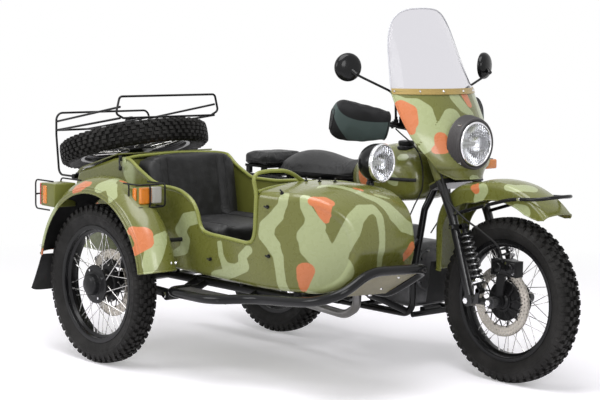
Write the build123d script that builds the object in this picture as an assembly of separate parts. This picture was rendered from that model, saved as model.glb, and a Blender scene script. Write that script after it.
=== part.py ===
"""Sidecar motorcycle: a boxer-twin outfit on three spoked wheels, with a spare on its boot lid.

Everything is drawn from the motorcycle's rear axle: x forward, y to the rider's left, z up from the
ground. put() then moves each piece so that the origin lies under the middle of the outfit.
"""
from build123d import *
import os
from math import asin, cos, hypot, radians, sin, tan

# Overall layout (mm)
WHEELBASE = 1475.0
TRACK = 1100.0             # motorcycle's plane to the sidecar wheel's plane
SIDECAR_LEAD = 100.0       # sidecar axle ahead of the rear axle
ORIGIN_AHEAD = 598.0       # origin ahead of the rear axle
ORIGIN_RIGHT = 355.0       # origin to the right of the motorcycle's plane
CLEAR = 0.3                # seat between two pieces that are bolted or rest together
RUNNING = 0.05             # radial clearance of a bearing or a bush

# Wheels, all four alike
TYRE_R = 346.0
TYRE_HALF = 54.0
RIM_HALF = 38.0
RIM_FLANGE_R = 255.5
BEAD_R = 243.0
RIM_WELL_R = 223.0
HUB_HALF = 60.0
HUB_FLANGE_R = 84.0
HUB_FLANGE_Y = 35.0
AXLE_R = 8.5
SPOKES = 40
SPOKE_R = 2.0
SPOKE_LEAN = 24.0          # degrees from hub hole to nipple
DISC_R = 147.5
DISC_IN = 47.0             # inner face of the brake disc, from the wheel's plane
DISC_OUT = 53.0
CAP_IN = 36.0              # the sidecar hub's cap: inner end, dome's edge and dome's top, from the wheel's plane
CAP_EDGE = 66.0
CAP_TOP = 84.0
CAP_R = 46.0
AXLE_Z = TYRE_R

# Steering
RAKE = 27.0
STEER_X = 1144.0           # a point on the steering axis
STEER_Z = 778.0
FORK_OFFSET = 40.0
FORK_Y = 110.0
FORK_R = 19.0
SHROUD_R = 24.0
HEAD_LOW = 40.0            # steering head, along the axis from the point above
HEAD_HIGH = 190.0
STEM_R = 13.0
FORK_KINK = (1242.0, 674.0)
LINK_PIVOT = (1350.0, 340.0)

# Sidecar body
TUB_RIGHT = -935.0
TUB_LEFT = -375.0
TUB_WALL = 8.0
SPARE_TILT = 16.0          # spare wheel and boot lid fall to the rear
SPARE_X = -290.0
SPARE_Y = -650.0
SPARE_Z = 913.0
HINGE_X = -388.0
HINGE_Z = 765.0
CUSHION_LOW = 500.0

UP = Vector(-sin(radians(RAKE)), 0, cos(radians(RAKE)))
AHEAD = Vector(cos(radians(RAKE)), 0, sin(radians(RAKE)))
STEER = Vector(STEER_X, 0, STEER_Z)


# ---------------------------------------------------------------- shared shapes
def put(name, *solids):
    """Writes one sub-part, moved to the outfit's origin."""
    flat = [s for item in solids for s in item.solids()]
    group = Compound(children=[s.moved(Location((-ORIGIN_AHEAD, ORIGIN_RIGHT, 0))) for s in flat])
    group.label = name
    export_step(group, f"parts/{name}.step")


def rod(start, end, radius):
    """A round bar from one point to another."""
    start = Vector(*start)
    run = Vector(*end) - start
    return extrude(Plane(origin=start, z_dir=run) * Circle(radius), run.length)


def pipe(points, radius, bend):
    """A bent bar: straight runs joined by arcs."""
    path = FilletPolyline(*points, radius=bend)
    return sweep(Plane(origin=path @ 0, z_dir=path % 0) * Circle(radius), path=path)


def cross(x, z, y0, y1, radius):
    """A round bar along y."""
    return rod((x, y0, z), (x, y1, z), radius)


def block(x0, x1, y0, y1, z0, z1):
    """A box between two corners."""
    return Pos((x0 + x1) / 2, (y0 + y1) / 2, (z0 + z1) / 2) * Box(x1 - x0, y1 - y0, z1 - z0)


def slab(outline, y0, y1):
    """An (x, z) outline carried along y."""
    face = Plane((0, y0, 0), x_dir=(1, 0, 0), z_dir=(0, -1, 0)) * Polygon(*outline, align=None)
    return extrude(face, y1 - y0, dir=(0, 1, 0))


def turned(outline):
    """A (y, radius) outline turned about the y axis."""
    return revolve(Plane.YZ * Polygon(*outline, align=None), Axis.Y)


def steer_at(up, ahead=0.0, y=0.0):
    """A point beside the steering axis."""
    spot = STEER + UP * up + AHEAD * ahead
    return (spot.X, y, spot.Z)


def eye(x, z, y0, y1, radius, bore):
    """A bush along y with its bore."""
    return cross(x, z, y0, y1, radius) - cross(x, z, y0 - 1, y1 + 1, bore)


# ---------------------------------------------------------------- wheels
def make_tyre():
    bead = RIM_HALF - 4.1
    low = BEAD_R + 0.1
    half = TYRE_HALF
    edge = Polyline((-bead, 257), (-bead, low), (bead, low), (bead, 257))
    edge += ThreePointArc((bead, 257), (half, 297), (half - 8, 330))
    edge += ThreePointArc((half - 8, 330), (0, TYRE_R), (8 - half, 330))
    edge += ThreePointArc((8 - half, 330), (-half, 297), (-bead, 257))
    return revolve(make_face(Plane.YZ * edge), Axis.Y)


def make_rim():
    half = RIM_HALF
    return turned([
        (-half, RIM_FLANGE_R), (4 - half, RIM_FLANGE_R), (4 - half, BEAD_R), (-16, BEAD_R - 2),
        (-12, 229), (12, 229), (16, BEAD_R - 2), (half - 4, BEAD_R), (half - 4, RIM_FLANGE_R),
        (half, RIM_FLANGE_R), (half, 238), (18, 235), (14, RIM_WELL_R), (-14, RIM_WELL_R),
        (-18, 235), (-half, 238)])


def make_hub():
    bore = AXLE_R + RUNNING
    flange = HUB_FLANGE_R
    return turned([
        (-HUB_HALF, bore), (-HUB_HALF, 28), (-44, 40), (-40, flange), (-30, flange), (-26, 58),
        (26, 58), (30, flange), (40, flange), (44, 40), (HUB_HALF, 28), (HUB_HALF, bore)])


def make_spokes():
    spokes = []
    for i in range(SPOKES):
        side = 1 if i % 2 else -1
        lean = SPOKE_LEAN if (i // 2) % 2 else -SPOKE_LEAN
        at_hub = radians(360 * i / SPOKES)
        at_rim = at_hub + radians(lean)
        hub_r = HUB_FLANGE_R - 4
        rim_r = RIM_WELL_R + 3
        start = (hub_r * cos(at_hub), side * HUB_FLANGE_Y, hub_r * sin(at_hub))
        end = (rim_r * cos(at_rim), side * 8, rim_r * sin(at_rim))
        spokes.append(rod(start, end, SPOKE_R))
    return spokes


def make_hub_cap():
    """A short drum under a dome, the dome a slice of a sphere."""
    rise = CAP_TOP - CAP_EDGE
    ball = (CAP_R ** 2 + rise ** 2) / (2 * rise)
    half_turn = asin(CAP_R / ball) / 2
    middle = (ball * (1 - cos(half_turn)) - CAP_TOP, ball * sin(half_turn))
    edge = Polyline((-CAP_TOP, 0), (-CAP_IN, 0), (-CAP_IN, CAP_R), (-CAP_EDGE, CAP_R))
    edge += ThreePointArc((-CAP_EDGE, CAP_R), middle, (-CAP_TOP, 0))
    return revolve(make_face(Plane.YZ * edge), Axis.Y)


def make_wheel(disc_side=0, capped=False):
    """Rim, spokes and hub, laced into one; the disc is on the side named by its sign."""
    wheel = make_rim() + make_hub() + make_spokes()
    if disc_side:
        inner, outer = disc_side * DISC_IN, disc_side * DISC_OUT
        wheel += turned([(inner, 30), (inner, DISC_R), (outer, DISC_R), (outer, 30)])
    if capped:
        wheel += make_hub_cap()
    return wheel


WHEEL_PLACES = {
    "front": (Pos(WHEELBASE, 0, AXLE_Z), -1, False),
    "rear": (Pos(0, 0, AXLE_Z), 1, False),
    "sidecar": (Pos(SIDECAR_LEAD, -TRACK, AXLE_Z), 1, True),
}
SPARE_PLACE = Pos(SPARE_X, SPARE_Y, SPARE_Z) * Rot(0, -SPARE_TILT, 0) * Rot(90, 0, 0)


def write_wheels():
    tyre = make_tyre()
    for name, (place, disc_side, capped) in WHEEL_PLACES.items():
        put(f"{name}_tyre", place * tyre)
        put(f"{name}_wheel", place * make_wheel(disc_side, capped))
    put("spare_tyre", SPARE_PLACE * tyre)
    put("spare_wheel", SPARE_PLACE * make_wheel())


# ---------------------------------------------------------------- front fork and what it carries
FRONT_PIN_LOW = (1410.0, 388.0)
FRONT_PIN_HIGH = (1308.0, 645.0)
PIN_R = 6.0
SHOCK_R = 25.0


def fork_leg(side):
    y = side * FORK_Y
    top = steer_at(222, FORK_OFFSET, y)
    kink = (FORK_KINK[0], y, FORK_KINK[1])
    pivot = (LINK_PIVOT[0], y, LINK_PIVOT[1])
    leg = pipe([top, kink, pivot], FORK_R, 160)
    leg += rod(steer_at(36, FORK_OFFSET, y), steer_at(194, FORK_OFFSET, y), SHROUD_R)
    leg += cross(pivot[0], pivot[2], y - 18, y + 18, 25)
    leg += cross(WHEELBASE, AXLE_Z, y - 15, y + 15, 24)
    leg += rod(pivot, (WHEELBASE, y, AXLE_Z), 14)
    return leg


def shock_cheeks(side, low, high, low_root, high_root, y_in, y_out):
    """Two plates that hold the pins of a spring unit, each with its pin."""
    y0, y1 = sorted((side * y_in, side * y_out))
    plates = rod((low[0], y0, low[1]), (low[0], y1, low[1]), 12)
    plates += rod((high[0], y0, high[1]), (high[0], y1, high[1]), 12)
    for pin, root in ((low, low_root), (high, high_root)):
        plates += slab(bar_outline(pin, root, 11), y0, y1)
    return plates


def bar_outline(start, end, half):
    """The four corners of a flat bar between two (x, z) points."""
    dx, dz = end[0] - start[0], end[1] - start[1]
    length = hypot(dx, dz)
    nx, nz = -dz / length * half, dx / length * half
    return [(start[0] + nx, start[1] + nz), (end[0] + nx, end[1] + nz),
            (end[0] - nx, end[1] - nz), (start[0] - nx, start[1] - nz)]


def spring_unit(low, high, y, half, radius):
    """A coil-over unit as its outer shape: an eye at each end and the spring between."""
    a, b = Vector(low[0], y, low[1]), Vector(high[0], y, high[1])
    along = (b - a).normalized()
    unit = cross(low[0], low[1], y - half, y + half, 14)
    unit += cross(high[0], high[1], y - half, y + half, 14)
    unit += rod(tuple(a), tuple(b), 9)
    unit += rod(tuple(a + along * 26), tuple(b - along * 26), radius)
    for x, z in (low, high):
        unit -= cross(x, z, y - half - 1, y + half + 1, PIN_R + RUNNING)
    return unit


def make_fork():
    fork = rod(steer_at(24), steer_at(204), STEM_R - RUNNING)
    for up, thick in ((12, HEAD_LOW - 12 - CLEAR), (HEAD_HIGH + CLEAR, 24 - CLEAR)):
        middle = Plane(steer_at(up + thick / 2, 24), x_dir=tuple(AHEAD), z_dir=tuple(UP))
        fork += middle * Box(80, 2 * FORK_Y + 30, thick)
    for side in (-1, 1):
        fork += fork_leg(side)
        fork += shock_cheeks(side, FRONT_PIN_LOW, FRONT_PIN_HIGH, (1405, 345), (1256, 640), 127, 133)
        for x, z in (FRONT_PIN_LOW, FRONT_PIN_HIGH):
            y0, y1 = sorted((side * 97, side * 130))
            fork += cross(x, z, y0, y1, PIN_R)
        fork += slab(bar_outline((1256, 640), (1240, 640), 11), *sorted((side * 112, side * 133)))
        fork += slab(bar_outline((1405, 350), (1405, 336), 11), *sorted((side * 112, side * 133)))
        y0, y1 = sorted((side * (HUB_HALF + RUNNING), side * 100))
        fork += cross(WHEELBASE, AXLE_Z, y0, y1, 16)
    fork += cross(WHEELBASE, AXLE_Z, -130, 130, AXLE_R)
    return fork


def make_front_shocks():
    return [spring_unit(FRONT_PIN_LOW, FRONT_PIN_HIGH, side * 112, 13, SHOCK_R) for side in (-1, 1)]


def make_front_caliper():
    body = block(1432, 1572, -76, -36, 456, 522)
    body -= cross(WHEELBASE, AXLE_Z, -DISC_OUT - 1.5, -DISC_IN + 1.5, DISC_R + 1.5)
    arm = slab(bar_outline((1490, 480), (WHEELBASE, AXLE_Z), 20), -76, -70)
    arm += cross(WHEELBASE, AXLE_Z, -76, -70, 30)
    return body + (arm - cross(WHEELBASE, AXLE_Z, -80, -60, 16 + RUNNING))


# Front mudguard: a channel whose outline is two arcs, then a flap
GUARD_HALF = 85.0
GUARD_DEEP = 85.0
GUARD_WALL = 4.0


def guard_outline(inset, deep):
    """The (x, z) band of the mudguard, its skin set in and its skirts cut at a depth."""
    front, front_r = (1445, 441), 408
    rear, rear_r = (1330, 605), 230
    nose = radians(46)
    tail = radians(176)

    def on(middle, radius, angle):
        return (middle[0] + radius * cos(angle), middle[1] + radius * sin(angle))

    outer, inner = -inset, -deep
    joint = on(front, front_r + outer, radians(108))
    low = on(front, front_r + inner, radians(108))
    edge = ThreePointArc(on(front, front_r + outer, nose), on(front, front_r + outer, radians(76)), joint)
    edge += ThreePointArc(joint, on(rear, rear_r + outer, radians(140)), on(rear, rear_r + outer, tail))
    edge += Line(on(rear, rear_r + outer, tail), (1104 + inset, 480))
    edge += Line((1104 + inset, 480), (1104 + deep * 0.6, 480))
    edge += Line((1104 + deep * 0.6, 480), on(rear, rear_r + inner * 0.6, tail))
    edge += ThreePointArc(on(rear, rear_r + inner * 0.6, tail), on(rear, rear_r + inner * 0.85, radians(140)), low)
    edge += ThreePointArc(low, on(front, front_r + inner, radians(76)), on(front, front_r + inner, nose))
    edge += Line(on(front, front_r + inner, nose), on(front, front_r + outer, nose))
    return edge


def carried(edge, half):
    """A closed (x, z) edge carried along y to both sides of the middle."""
    face = make_face(Plane((0, -half, 0), x_dir=(1, 0, 0), z_dir=(0, -1, 0)) * edge)
    return extrude(face, 2 * half, dir=(0, 1, 0))


def make_front_mudguard():
    guard = carried(guard_outline(0, GUARD_DEEP), GUARD_HALF)
    guard -= carried(guard_outline(GUARD_WALL, GUARD_DEEP + 30), GUARD_HALF - GUARD_WALL)
    guard += slab([(1104, 482), (1110, 482), (1092, 292), (1086, 292)], -GUARD_HALF, GUARD_HALF)
    guard += block(1100, 1112, -GUARD_HALF, GUARD_HALF, 470, 490)
    for side in (-1, 1):
        y0, y1 = sorted((side * (GUARD_HALF - 2), side * (FORK_Y - SHROUD_R + 4.6)))
        guard += cross(1213, 731, y0, y1, 10)
        y0, y1 = sorted((side * (GUARD_HALF - 2), side * (101 - 6 - 1)))
        guard += cross(1600, 786, y0, y1, 7)
    return guard


def make_mudguard_rail():
    half = [(1254, -110, 694), (1420, -101, 752), (1600, -101, 786), (1752, -88, 826)]
    points = half + [(x, -y, z) for x, y, z in reversed(half)]
    return pipe(points, 6, 28)


def arc_core(rows, wall=0.0):
    """Arcs at rising heights, lofted and filled to the back. Columns: z, edge x, front x, half width."""
    faces = []
    for z, edge_x, front_x, half in rows:
        wide = half - wall
        rim = ThreePointArc((edge_x, -wide), (front_x - wall, 0), (edge_x, wide))
        rim += Polyline((edge_x, wide), (edge_x - 20 * wall, wide), (edge_x - 20 * wall, -wide), (edge_x, -wide)) \
            if wall else Line((edge_x, wide), (edge_x, -wide))
        faces.append(make_face(Plane.XY.offset(z) * rim))
    return loft(faces)


def arc_shell(rows, wall):
    """The same loft as a skin of the given wall."""
    return arc_core(rows) - arc_core(rows, wall)


FAIRING_ROWS = [
    (836.0, 1222.0, 1262.0, 85.0),
    (900.0, 1182.0, 1254.0, 172.0),
    (1000.0, 1117.0, 1220.0, 228.0),
    (1200.0, 1000.0, 1125.0, 250.0),
]
SCREEN_ROWS = [
    (1200.0, 1000.0, 1125.0, 250.0),
    (1322.0, 955.0, 1064.0, 222.0),
    (1458.0, 917.0, 992.0, 186.0),
    (1548.0, 905.0, 930.0, 100.0),
]
FAIRING_WALL = 4.0
LAMP = (1267.0, 0.0, 983.0)       # middle of the headlamp's glass
LAMP_BOWL_R = 94.0
LAMP_RING_R = 122.0


def x_cylinder(x0, x1, y, z, radius, end_radius=None):
    """A round bar or a cone along x."""
    if end_radius is None:
        return rod((x0, y, z), (x1, y, z), radius)
    return Plane((x0, y, z), x_dir=(0, 1, 0), z_dir=(1, 0, 0)) * Pos(0, 0, (x1 - x0) / 2) * Cone(
        radius, end_radius, x1 - x0)


def make_headlight():
    x, y, z = LAMP
    ring = x_cylinder(x - 72, x - 6, y, z, LAMP_RING_R, LAMP_RING_R - 14)
    bowl = x_cylinder(x - 140, x - 95, y, z, 55, LAMP_BOWL_R) + x_cylinder(x - 96, x - 50, y, z, LAMP_BOWL_R)
    outside = ring - fairing_core()
    lamp = outside.solids().sort_by(Axis.X)[-1] + bowl + x_cylinder(x - 52, x, y, z, LAMP_BOWL_R - 1)
    for side in (-1, 1):
        lamp += rod((x - 77, side * 80, z), (x - 160, side * 112, 950), 9)
    return lamp - leg_envelopes(CLEAR)


def fairing_core():
    """The fairing's outer shape, filled and set forward by the seat's clearance."""
    return arc_core([(z, edge + CLEAR, front + CLEAR, half) for z, edge, front, half in FAIRING_ROWS])


def leg_envelopes(gap):
    """The fork's upper legs, grown by a gap, for cutting what sits on them."""
    legs = None
    for side in (-1, 1):
        leg = rod(steer_at(20, FORK_OFFSET, side * FORK_Y), steer_at(240, FORK_OFFSET, side * FORK_Y), SHROUD_R + gap)
        legs = leg if legs is None else legs + leg
    return legs


def make_fairing():
    x, y, z = LAMP
    shell = arc_shell(FAIRING_ROWS, FAIRING_WALL)
    return shell - x_cylinder(x - 170, x + 20, y, z, LAMP_BOWL_R + CLEAR)


# Handlebar
BAR_R = 11.0
BAR_END = (850.0, 410.0, 1082.0)
BAR_KNEE = (982.0, 200.0, 1054.0)
BAR_MIDDLE = (1025.0, 92.0, 1050.0)


def bar_point(share, side):
    """A point on the straight outer part of the handlebar, 0 at its knee and 1 at its end."""
    spot = [a + (b - a) * share for a, b in zip(BAR_KNEE, BAR_END)]
    return (spot[0], side * spot[1], spot[2])


def bar_tube(radius):
    """The handlebar's bent tube at a given radius."""
    right = [BAR_END, BAR_KNEE, BAR_MIDDLE]
    points = [(x, -y, z) for x, y, z in right] + [(x, y, z) for x, y, z in reversed(right)]
    return pipe(points, radius, 45)


def make_handlebar():
    bar = bar_tube(BAR_R)
    for side in (-1, 1):
        bar += rod(bar_point(0.42, side), bar_point(1.0, side), 16)
        bar += rod(steer_at(HEAD_HIGH + 24 + CLEAR, 17.5, side * 45), steer_at(297, 17.5, side * 45), 13)
        perch = bar_point(0.29, side)
        tip = bar_point(0.90, side)
        lever = (perch[0] + 22, perch[1], perch[2] - 6)
        bar += rod(perch, lever, 9)
        bar += rod(lever, (tip[0] + 38, tip[1], tip[2] - 8), 5)
        cup = bar_point(-0.10, side)
        bar += block(cup[0] + 6, cup[0] + 46, cup[1] - 22, cup[1] + 22, cup[2] + 2, cup[2] + 40)
    return bar


MIRROR = (913.0, 420.0, 1300.0)


def make_mirror(side):
    x, y, z = MIRROR
    y = side * y
    foot = bar_point(0.01, side)
    beyond = bar_point(0.08, side)
    collar = rod(foot, beyond, 17)
    stem = pipe([(foot[0], foot[1], foot[2] + 6), (foot[0] - 4, foot[1], 1188), (x + 44, y - side * 8, z - 30)], 5, 30)
    head = x_cylinder(x - 9, x, y, z, 58, 60) + x_cylinder(x, x + 34, y, z, 60, 26)
    neck = rod((x + 20, y, z), (x + 46, y - side * 8, z - 31), 11)
    return (collar + stem + head + neck) - bar_tube(BAR_R + RUNNING)


MUFF_ROWS = [      # share along the bar, half width across, half height, drop of the middle
    (0.14, 52.0, 50.0, -4.0),
    (0.50, 74.0, 78.0, 8.0),
    (1.12, 66.0, 82.0, 8.0),
]
MUFF_WALL = 6.0


def muff_body(side, inset):
    """A rounded bag round one grip, as a loft of rounded sections across the bar."""
    along = Vector(*bar_point(1, side)) - Vector(*bar_point(0, side))
    across = Vector(0, 0, 1).cross(along).normalized()
    faces = []
    for row, (share, half_x, half_z, drop) in enumerate(MUFF_ROWS):
        shift = inset / along.length * (1 if row == 0 else -1 if row == len(MUFF_ROWS) - 1 else 0)
        middle = Vector(*bar_point(share + shift, side)) - Vector(0, 0, drop)
        plane = Plane(middle, x_dir=across, z_dir=along)
        wide, high = 2 * (half_x - inset), 2 * (half_z - inset)
        faces.append(plane * RectangleRounded(wide, high, min(wide, high) * 0.36))
    return loft(faces)


def make_hand_muff(side):
    muff = muff_body(side, 0) - muff_body(side, MUFF_WALL)
    middle = bar_point(0.72, side)
    hand = block(middle[0] - 130, middle[0] - 20, middle[1] - 52, middle[1] + 52, middle[2] - 62, middle[2] + 34)
    return muff - hand - bar_tube(BAR_R + CLEAR)


def make_front_indicator():
    stalk = cross(1128, 880, 112, 190, 7)
    lamp = block(1108, 1150, 186, 262, 857, 903)
    return (stalk + lamp) - leg_envelopes(CLEAR)


# ---------------------------------------------------------------- motorcycle
FRAME_R = 15.0
CRADLE_Y = 130.0
CRADLE_Z = 236.0
SWING_PIVOT = (405.0, 335.0)
REAR_PIN_LOW = (62.0, 462.0)
REAR_PIN_HIGH = (112.0, 712.0)
REAR_SHOCK_Y = 138.0
RAIL_Y = 105.0
RAIL_Z = 752.0
STAND_PIVOT = (400.0, 205.0)
ENGINE_LOW = 258.0


def cradle_points(side):
    """The cradle tube of one side: down from the head, along under the engine and up to the saddle rail."""
    y = side * CRADLE_Y
    return [steer_at(95, -14, side * 12), (1036, side * 70, 690), (1034, y, 400), (1034, y, CRADLE_Z),
            (390, y, CRADLE_Z), (300, y, 330), (250, side * RAIL_Y, RAIL_Z)]


def make_main_frame():
    head = rod(steer_at(HEAD_LOW), steer_at(HEAD_HIGH), 26)
    frame = head + pipe([steer_at(150), (760, 0, 780), (330, 0, 730)], 18, 200)
    for side in (-1, 1):
        frame += pipe(cradle_points(side), FRAME_R, 60)
        frame += pipe([(560, 0, 757), (470, side * RAIL_Y, RAIL_Z), (-150, side * RAIL_Y, RAIL_Z)], 13, 50)
        frame += slab([(390, 222), (430, 222), (430, 350), (380, 350)], *sorted((side * 122, side * 130)))
        frame += cross(REAR_PIN_HIGH[0], RAIL_Z - 4, *sorted((side * RAIL_Y, side * 120)), 9)
        frame += slab([(100, 700), (124, 700), (124, 756), (100, 756)], *sorted((side * 114, side * 120)))
        frame += cross(*REAR_PIN_HIGH, *sorted((side * 116, side * 152)), PIN_R)
    for x, z in ((1034, CRADLE_Z), (700, CRADLE_Z)):
        frame += cross(x, z, -CRADLE_Y, CRADLE_Y, 12)
    for x in (686, 1000):
        frame += block(x, x + 30, -50, 50, CRADLE_Z, ENGINE_LOW - CLEAR)
    frame += cross(-60, RAIL_Z, -RAIL_Y, RAIL_Y, 10) + cross(340, 740, -RAIL_Y, RAIL_Y, 12)
    frame += cross(*SWING_PIVOT, -128, 128, 11)
    frame += cross(*STAND_PIVOT, -128, 128, 8)
    for side in (-1, 1):
        frame += slab([(386, 200), (414, 200), (414, 240), (386, 240)], *sorted((side * 122, side * 130)))
    return frame - rod(steer_at(HEAD_LOW - 5), steer_at(HEAD_HIGH + 5), STEM_R)


def make_swing_arm():
    x, z = SWING_PIVOT
    arm = cross(x, z, -112, 112, 22) + rod((x, 92, z), (0, 86, AXLE_Z), 17)
    arm += rod((x - 10, -88, z), (60, -88, AXLE_Z), 24)
    arm += cross(0, AXLE_Z, -150, -HUB_HALF - RUNNING, 88)
    arm += cross(0, AXLE_Z, HUB_HALF + RUNNING, 112, 20)
    arm += cross(0, AXLE_Z, -70, 118, AXLE_R)
    for side in (-1, 1):
        y0, y1 = sorted((side * 112, side * 120))
        root = (50, 352) if side > 0 else (40, 400)
        arm += slab(bar_outline(REAR_PIN_LOW, root, 12), y0, y1)
        arm += cross(*REAR_PIN_LOW, y0, y1, 13)
        arm += cross(*REAR_PIN_LOW, *sorted((side * 116, side * 152)), PIN_R)
    arm += slab(bar_outline((60, 352), (40, 346), 12), 84, 120)
    return arm - cross(x, z, -130, 130, 11 + RUNNING)


def make_engine():
    case = block(700, 1012, -112, 112, ENGINE_LOW, 540) + block(470, 702, -98, 98, 270, 500)
    return case + x_cylinder(1000, 1018, 0, 420, 100) + block(760, 900, -60, 60, 535, 600)


def make_cylinder(side):
    y0, y1 = side * (112 + CLEAR), side * 245
    barrel = rod((865, y0, 420), (865, y1, 420), 64)
    head = block(790, 940, *sorted((side * 240, side * 345)), 350, 492)
    port = rod((800, side * 290, 440), (690, side * 250, 470), 26)
    body = rod((690, side * 250, 470), (600, side * 190, 480), 30)
    return barrel + head + port + body


def make_exhaust(side):
    head_pipe = pipe([(865, side * 300, 350 - CLEAR), (865, side * 300, 262), (760, side * 270, 212),
                      (330, side * 215, 222), (250, side * 210, 235)], 19, 42)
    silencer = rod((262, side * 210, 235), (-300, side * 212, 262), 42)
    hanger = slab(bar_outline((300, 228), (372, 236), 10), *sorted((side * 145.3, side * 205)))
    return head_pipe + silencer + hanger


def make_tank():
    rows = [(604, 96, 760, 804, 864), (690, 138, 735, 820, 926), (870, 152, 712, 830, 962),
            (990, 128, 730, 806, 930), (1036, 88, 768, 800, 850)]
    faces = []
    for x, half, low, shoulder, top in rows:      # station, half width, bottom, shoulder and top heights
        rim = Polyline((-half, shoulder), (-half, low), (half, low), (half, shoulder))
        rim += ThreePointArc((half, shoulder), (0, top), (-half, shoulder))
        faces.append(make_face(Plane((x, 0, 0), x_dir=(0, 1, 0), z_dir=(1, 0, 0)) * rim))
    tank = loft(faces)
    cap = rod((905, -58, 945), (905, -58, 978), 34)
    return (tank + cap) - pipe([steer_at(150), (760, 0, 780), (330, 0, 730)], 18 + CLEAR, 200) \
        - block(560, 1040, -18 - CLEAR, 18 + CLEAR, 700, 800) - rod(steer_at(0), steer_at(220), 34)


def make_saddle():
    rows = [(66, 70, 790, 812), (150, 128, 778, 868), (250, 142, 776, 888), (420, 120, 780, 868), (600, 88, 800, 880)]
    faces = []
    for x, half, low, top in rows:                # station, half width, bottom and top heights
        rim = Polyline((-half, low + 14), (-half + 14, low), (half - 14, low), (half, low + 14))
        rim += ThreePointArc((half, low + 14), (0, top), (-half, low + 14))
        faces.append(make_face(Plane((x, 0, 0), x_dir=(0, 1, 0), z_dir=(1, 0, 0)) * rim))
    return loft(faces)


def make_saddle_base():
    base = block(150, 470, -92, 92, 769, 775.6)
    for x in (200, 420):
        base += block(x - 20, x + 20, -118, 118, RAIL_Z + 13 + CLEAR, 772)
    base += block(-130, 40, -112, 112, 796, 807.6)
    for x in (-110, 0):
        base += block(x - 12, x + 12, -112, -92, RAIL_Z + 13 + CLEAR, 800)
        base += block(x - 12, x + 12, 92, 112, RAIL_Z + 13 + CLEAR, 800)
    return base


def make_pillion():
    return fillet(block(-140, 50, -125, 125, 808, 862).edges(), 12)


def crown_guard(middle, y, half, lip, crown, wall, start, sweep_angle):
    """A mudguard turned about an axle: its section is an arc from lip to crown to lip."""
    x, z = middle
    edge = ThreePointArc((-half, lip), (0, crown), (half, lip)) + Line((half, lip), (half - wall, lip))
    edge += ThreePointArc((half - wall, lip), (0, crown - wall), (wall - half, lip))
    edge += Line((wall - half, lip), (-half, lip))
    face = make_face(Plane.YZ * edge)
    solid = revolve(face, Axis.Y, sweep_angle)
    return Pos(x, y, z) * Rot(0, 90 - start - sweep_angle, 0) * solid


def make_rear_mudguard():
    middle, y, half, lip, crown = REAR_GUARD
    guard = crown_guard(*REAR_GUARD, 3, 28, 140)
    return guard + block(-74, -46, -30, 30, middle[1] + crown - 8, RAIL_Z - 10 - CLEAR)


def make_tail_lamp():
    lamp = block(-372, -364, -70, 70, 560, 640) + block(-410, -370, -48, 48, 590, 660)
    lamp += block(-366, -250, -14, 14, 585, 613)
    cut = lamp - guard_core(*REAR_GUARD, CLEAR)
    return cut.solids().sort_by(Axis.X)[0]


def make_foot_controls(side):
    x, z = 560, 262
    peg = cross(x, z, *sorted((side * (CRADLE_Y + FRAME_R + CLEAR), side * 270)), 13)
    hanger = block(x - 25, x + 25, *sorted((side * (CRADLE_Y + FRAME_R + CLEAR), side * 152)), 225, 275)
    pedal = pipe([(x + 10, side * 160, z), (x + 120, side * 165, z - 6), (x + 190, side * 200, z + 20)], 7, 25)
    return peg + hanger + pedal + cross(x + 10, z, *sorted((side * 150, side * 167)), 9)


def make_stand():
    x, z = STAND_PIVOT
    stand = None
    for side in (-1, 1):
        leg = eye(x, z, *sorted((side * 96, side * 120)), 15, 8 + RUNNING)
        leg += pipe([(x - 12, side * 108, z), (x - 90, side * 112, z - 6), (x - 200, side * 150, z - 16)], 9, 60)
        leg += block(x - 212, x - 190, *sorted((side * 135, side * 165)), z - 26, z - 8)
        stand = leg if stand is None else stand + leg
    return stand + cross(x - 60, z - 4, -112, 112, 8) - cross(x, z, -130, 130, 8 + RUNNING)


# ---------------------------------------------------------------- sidecar chassis
RAIL_RIGHT = -850.0
RAIL_LEFT = -450.0
CHASSIS_Z = 384.0
CHASSIS_R = 18.0
STEP_Z = 362.0
PLATE_TOP = STEP_Z + 7
ARM_Y = -992.0
ARM_PIVOT = (455.0, 335.0)
SIDE_PIN_LOW = (190.0, 392.0)
SIDE_PIN_HIGH = (250.0, 660.0)
POST_Y = -953.0             # upright that carries the spring unit's upper pin, beside the body


STRUTS = [          # x along the chassis, foot height on the cradle, upper end x, y, z
    (1000.0, 250.0, 1038.0, -112.0, 560.0),
    (400.0, 250.0, 266.0, -118.0, 620.0),
]


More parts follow.
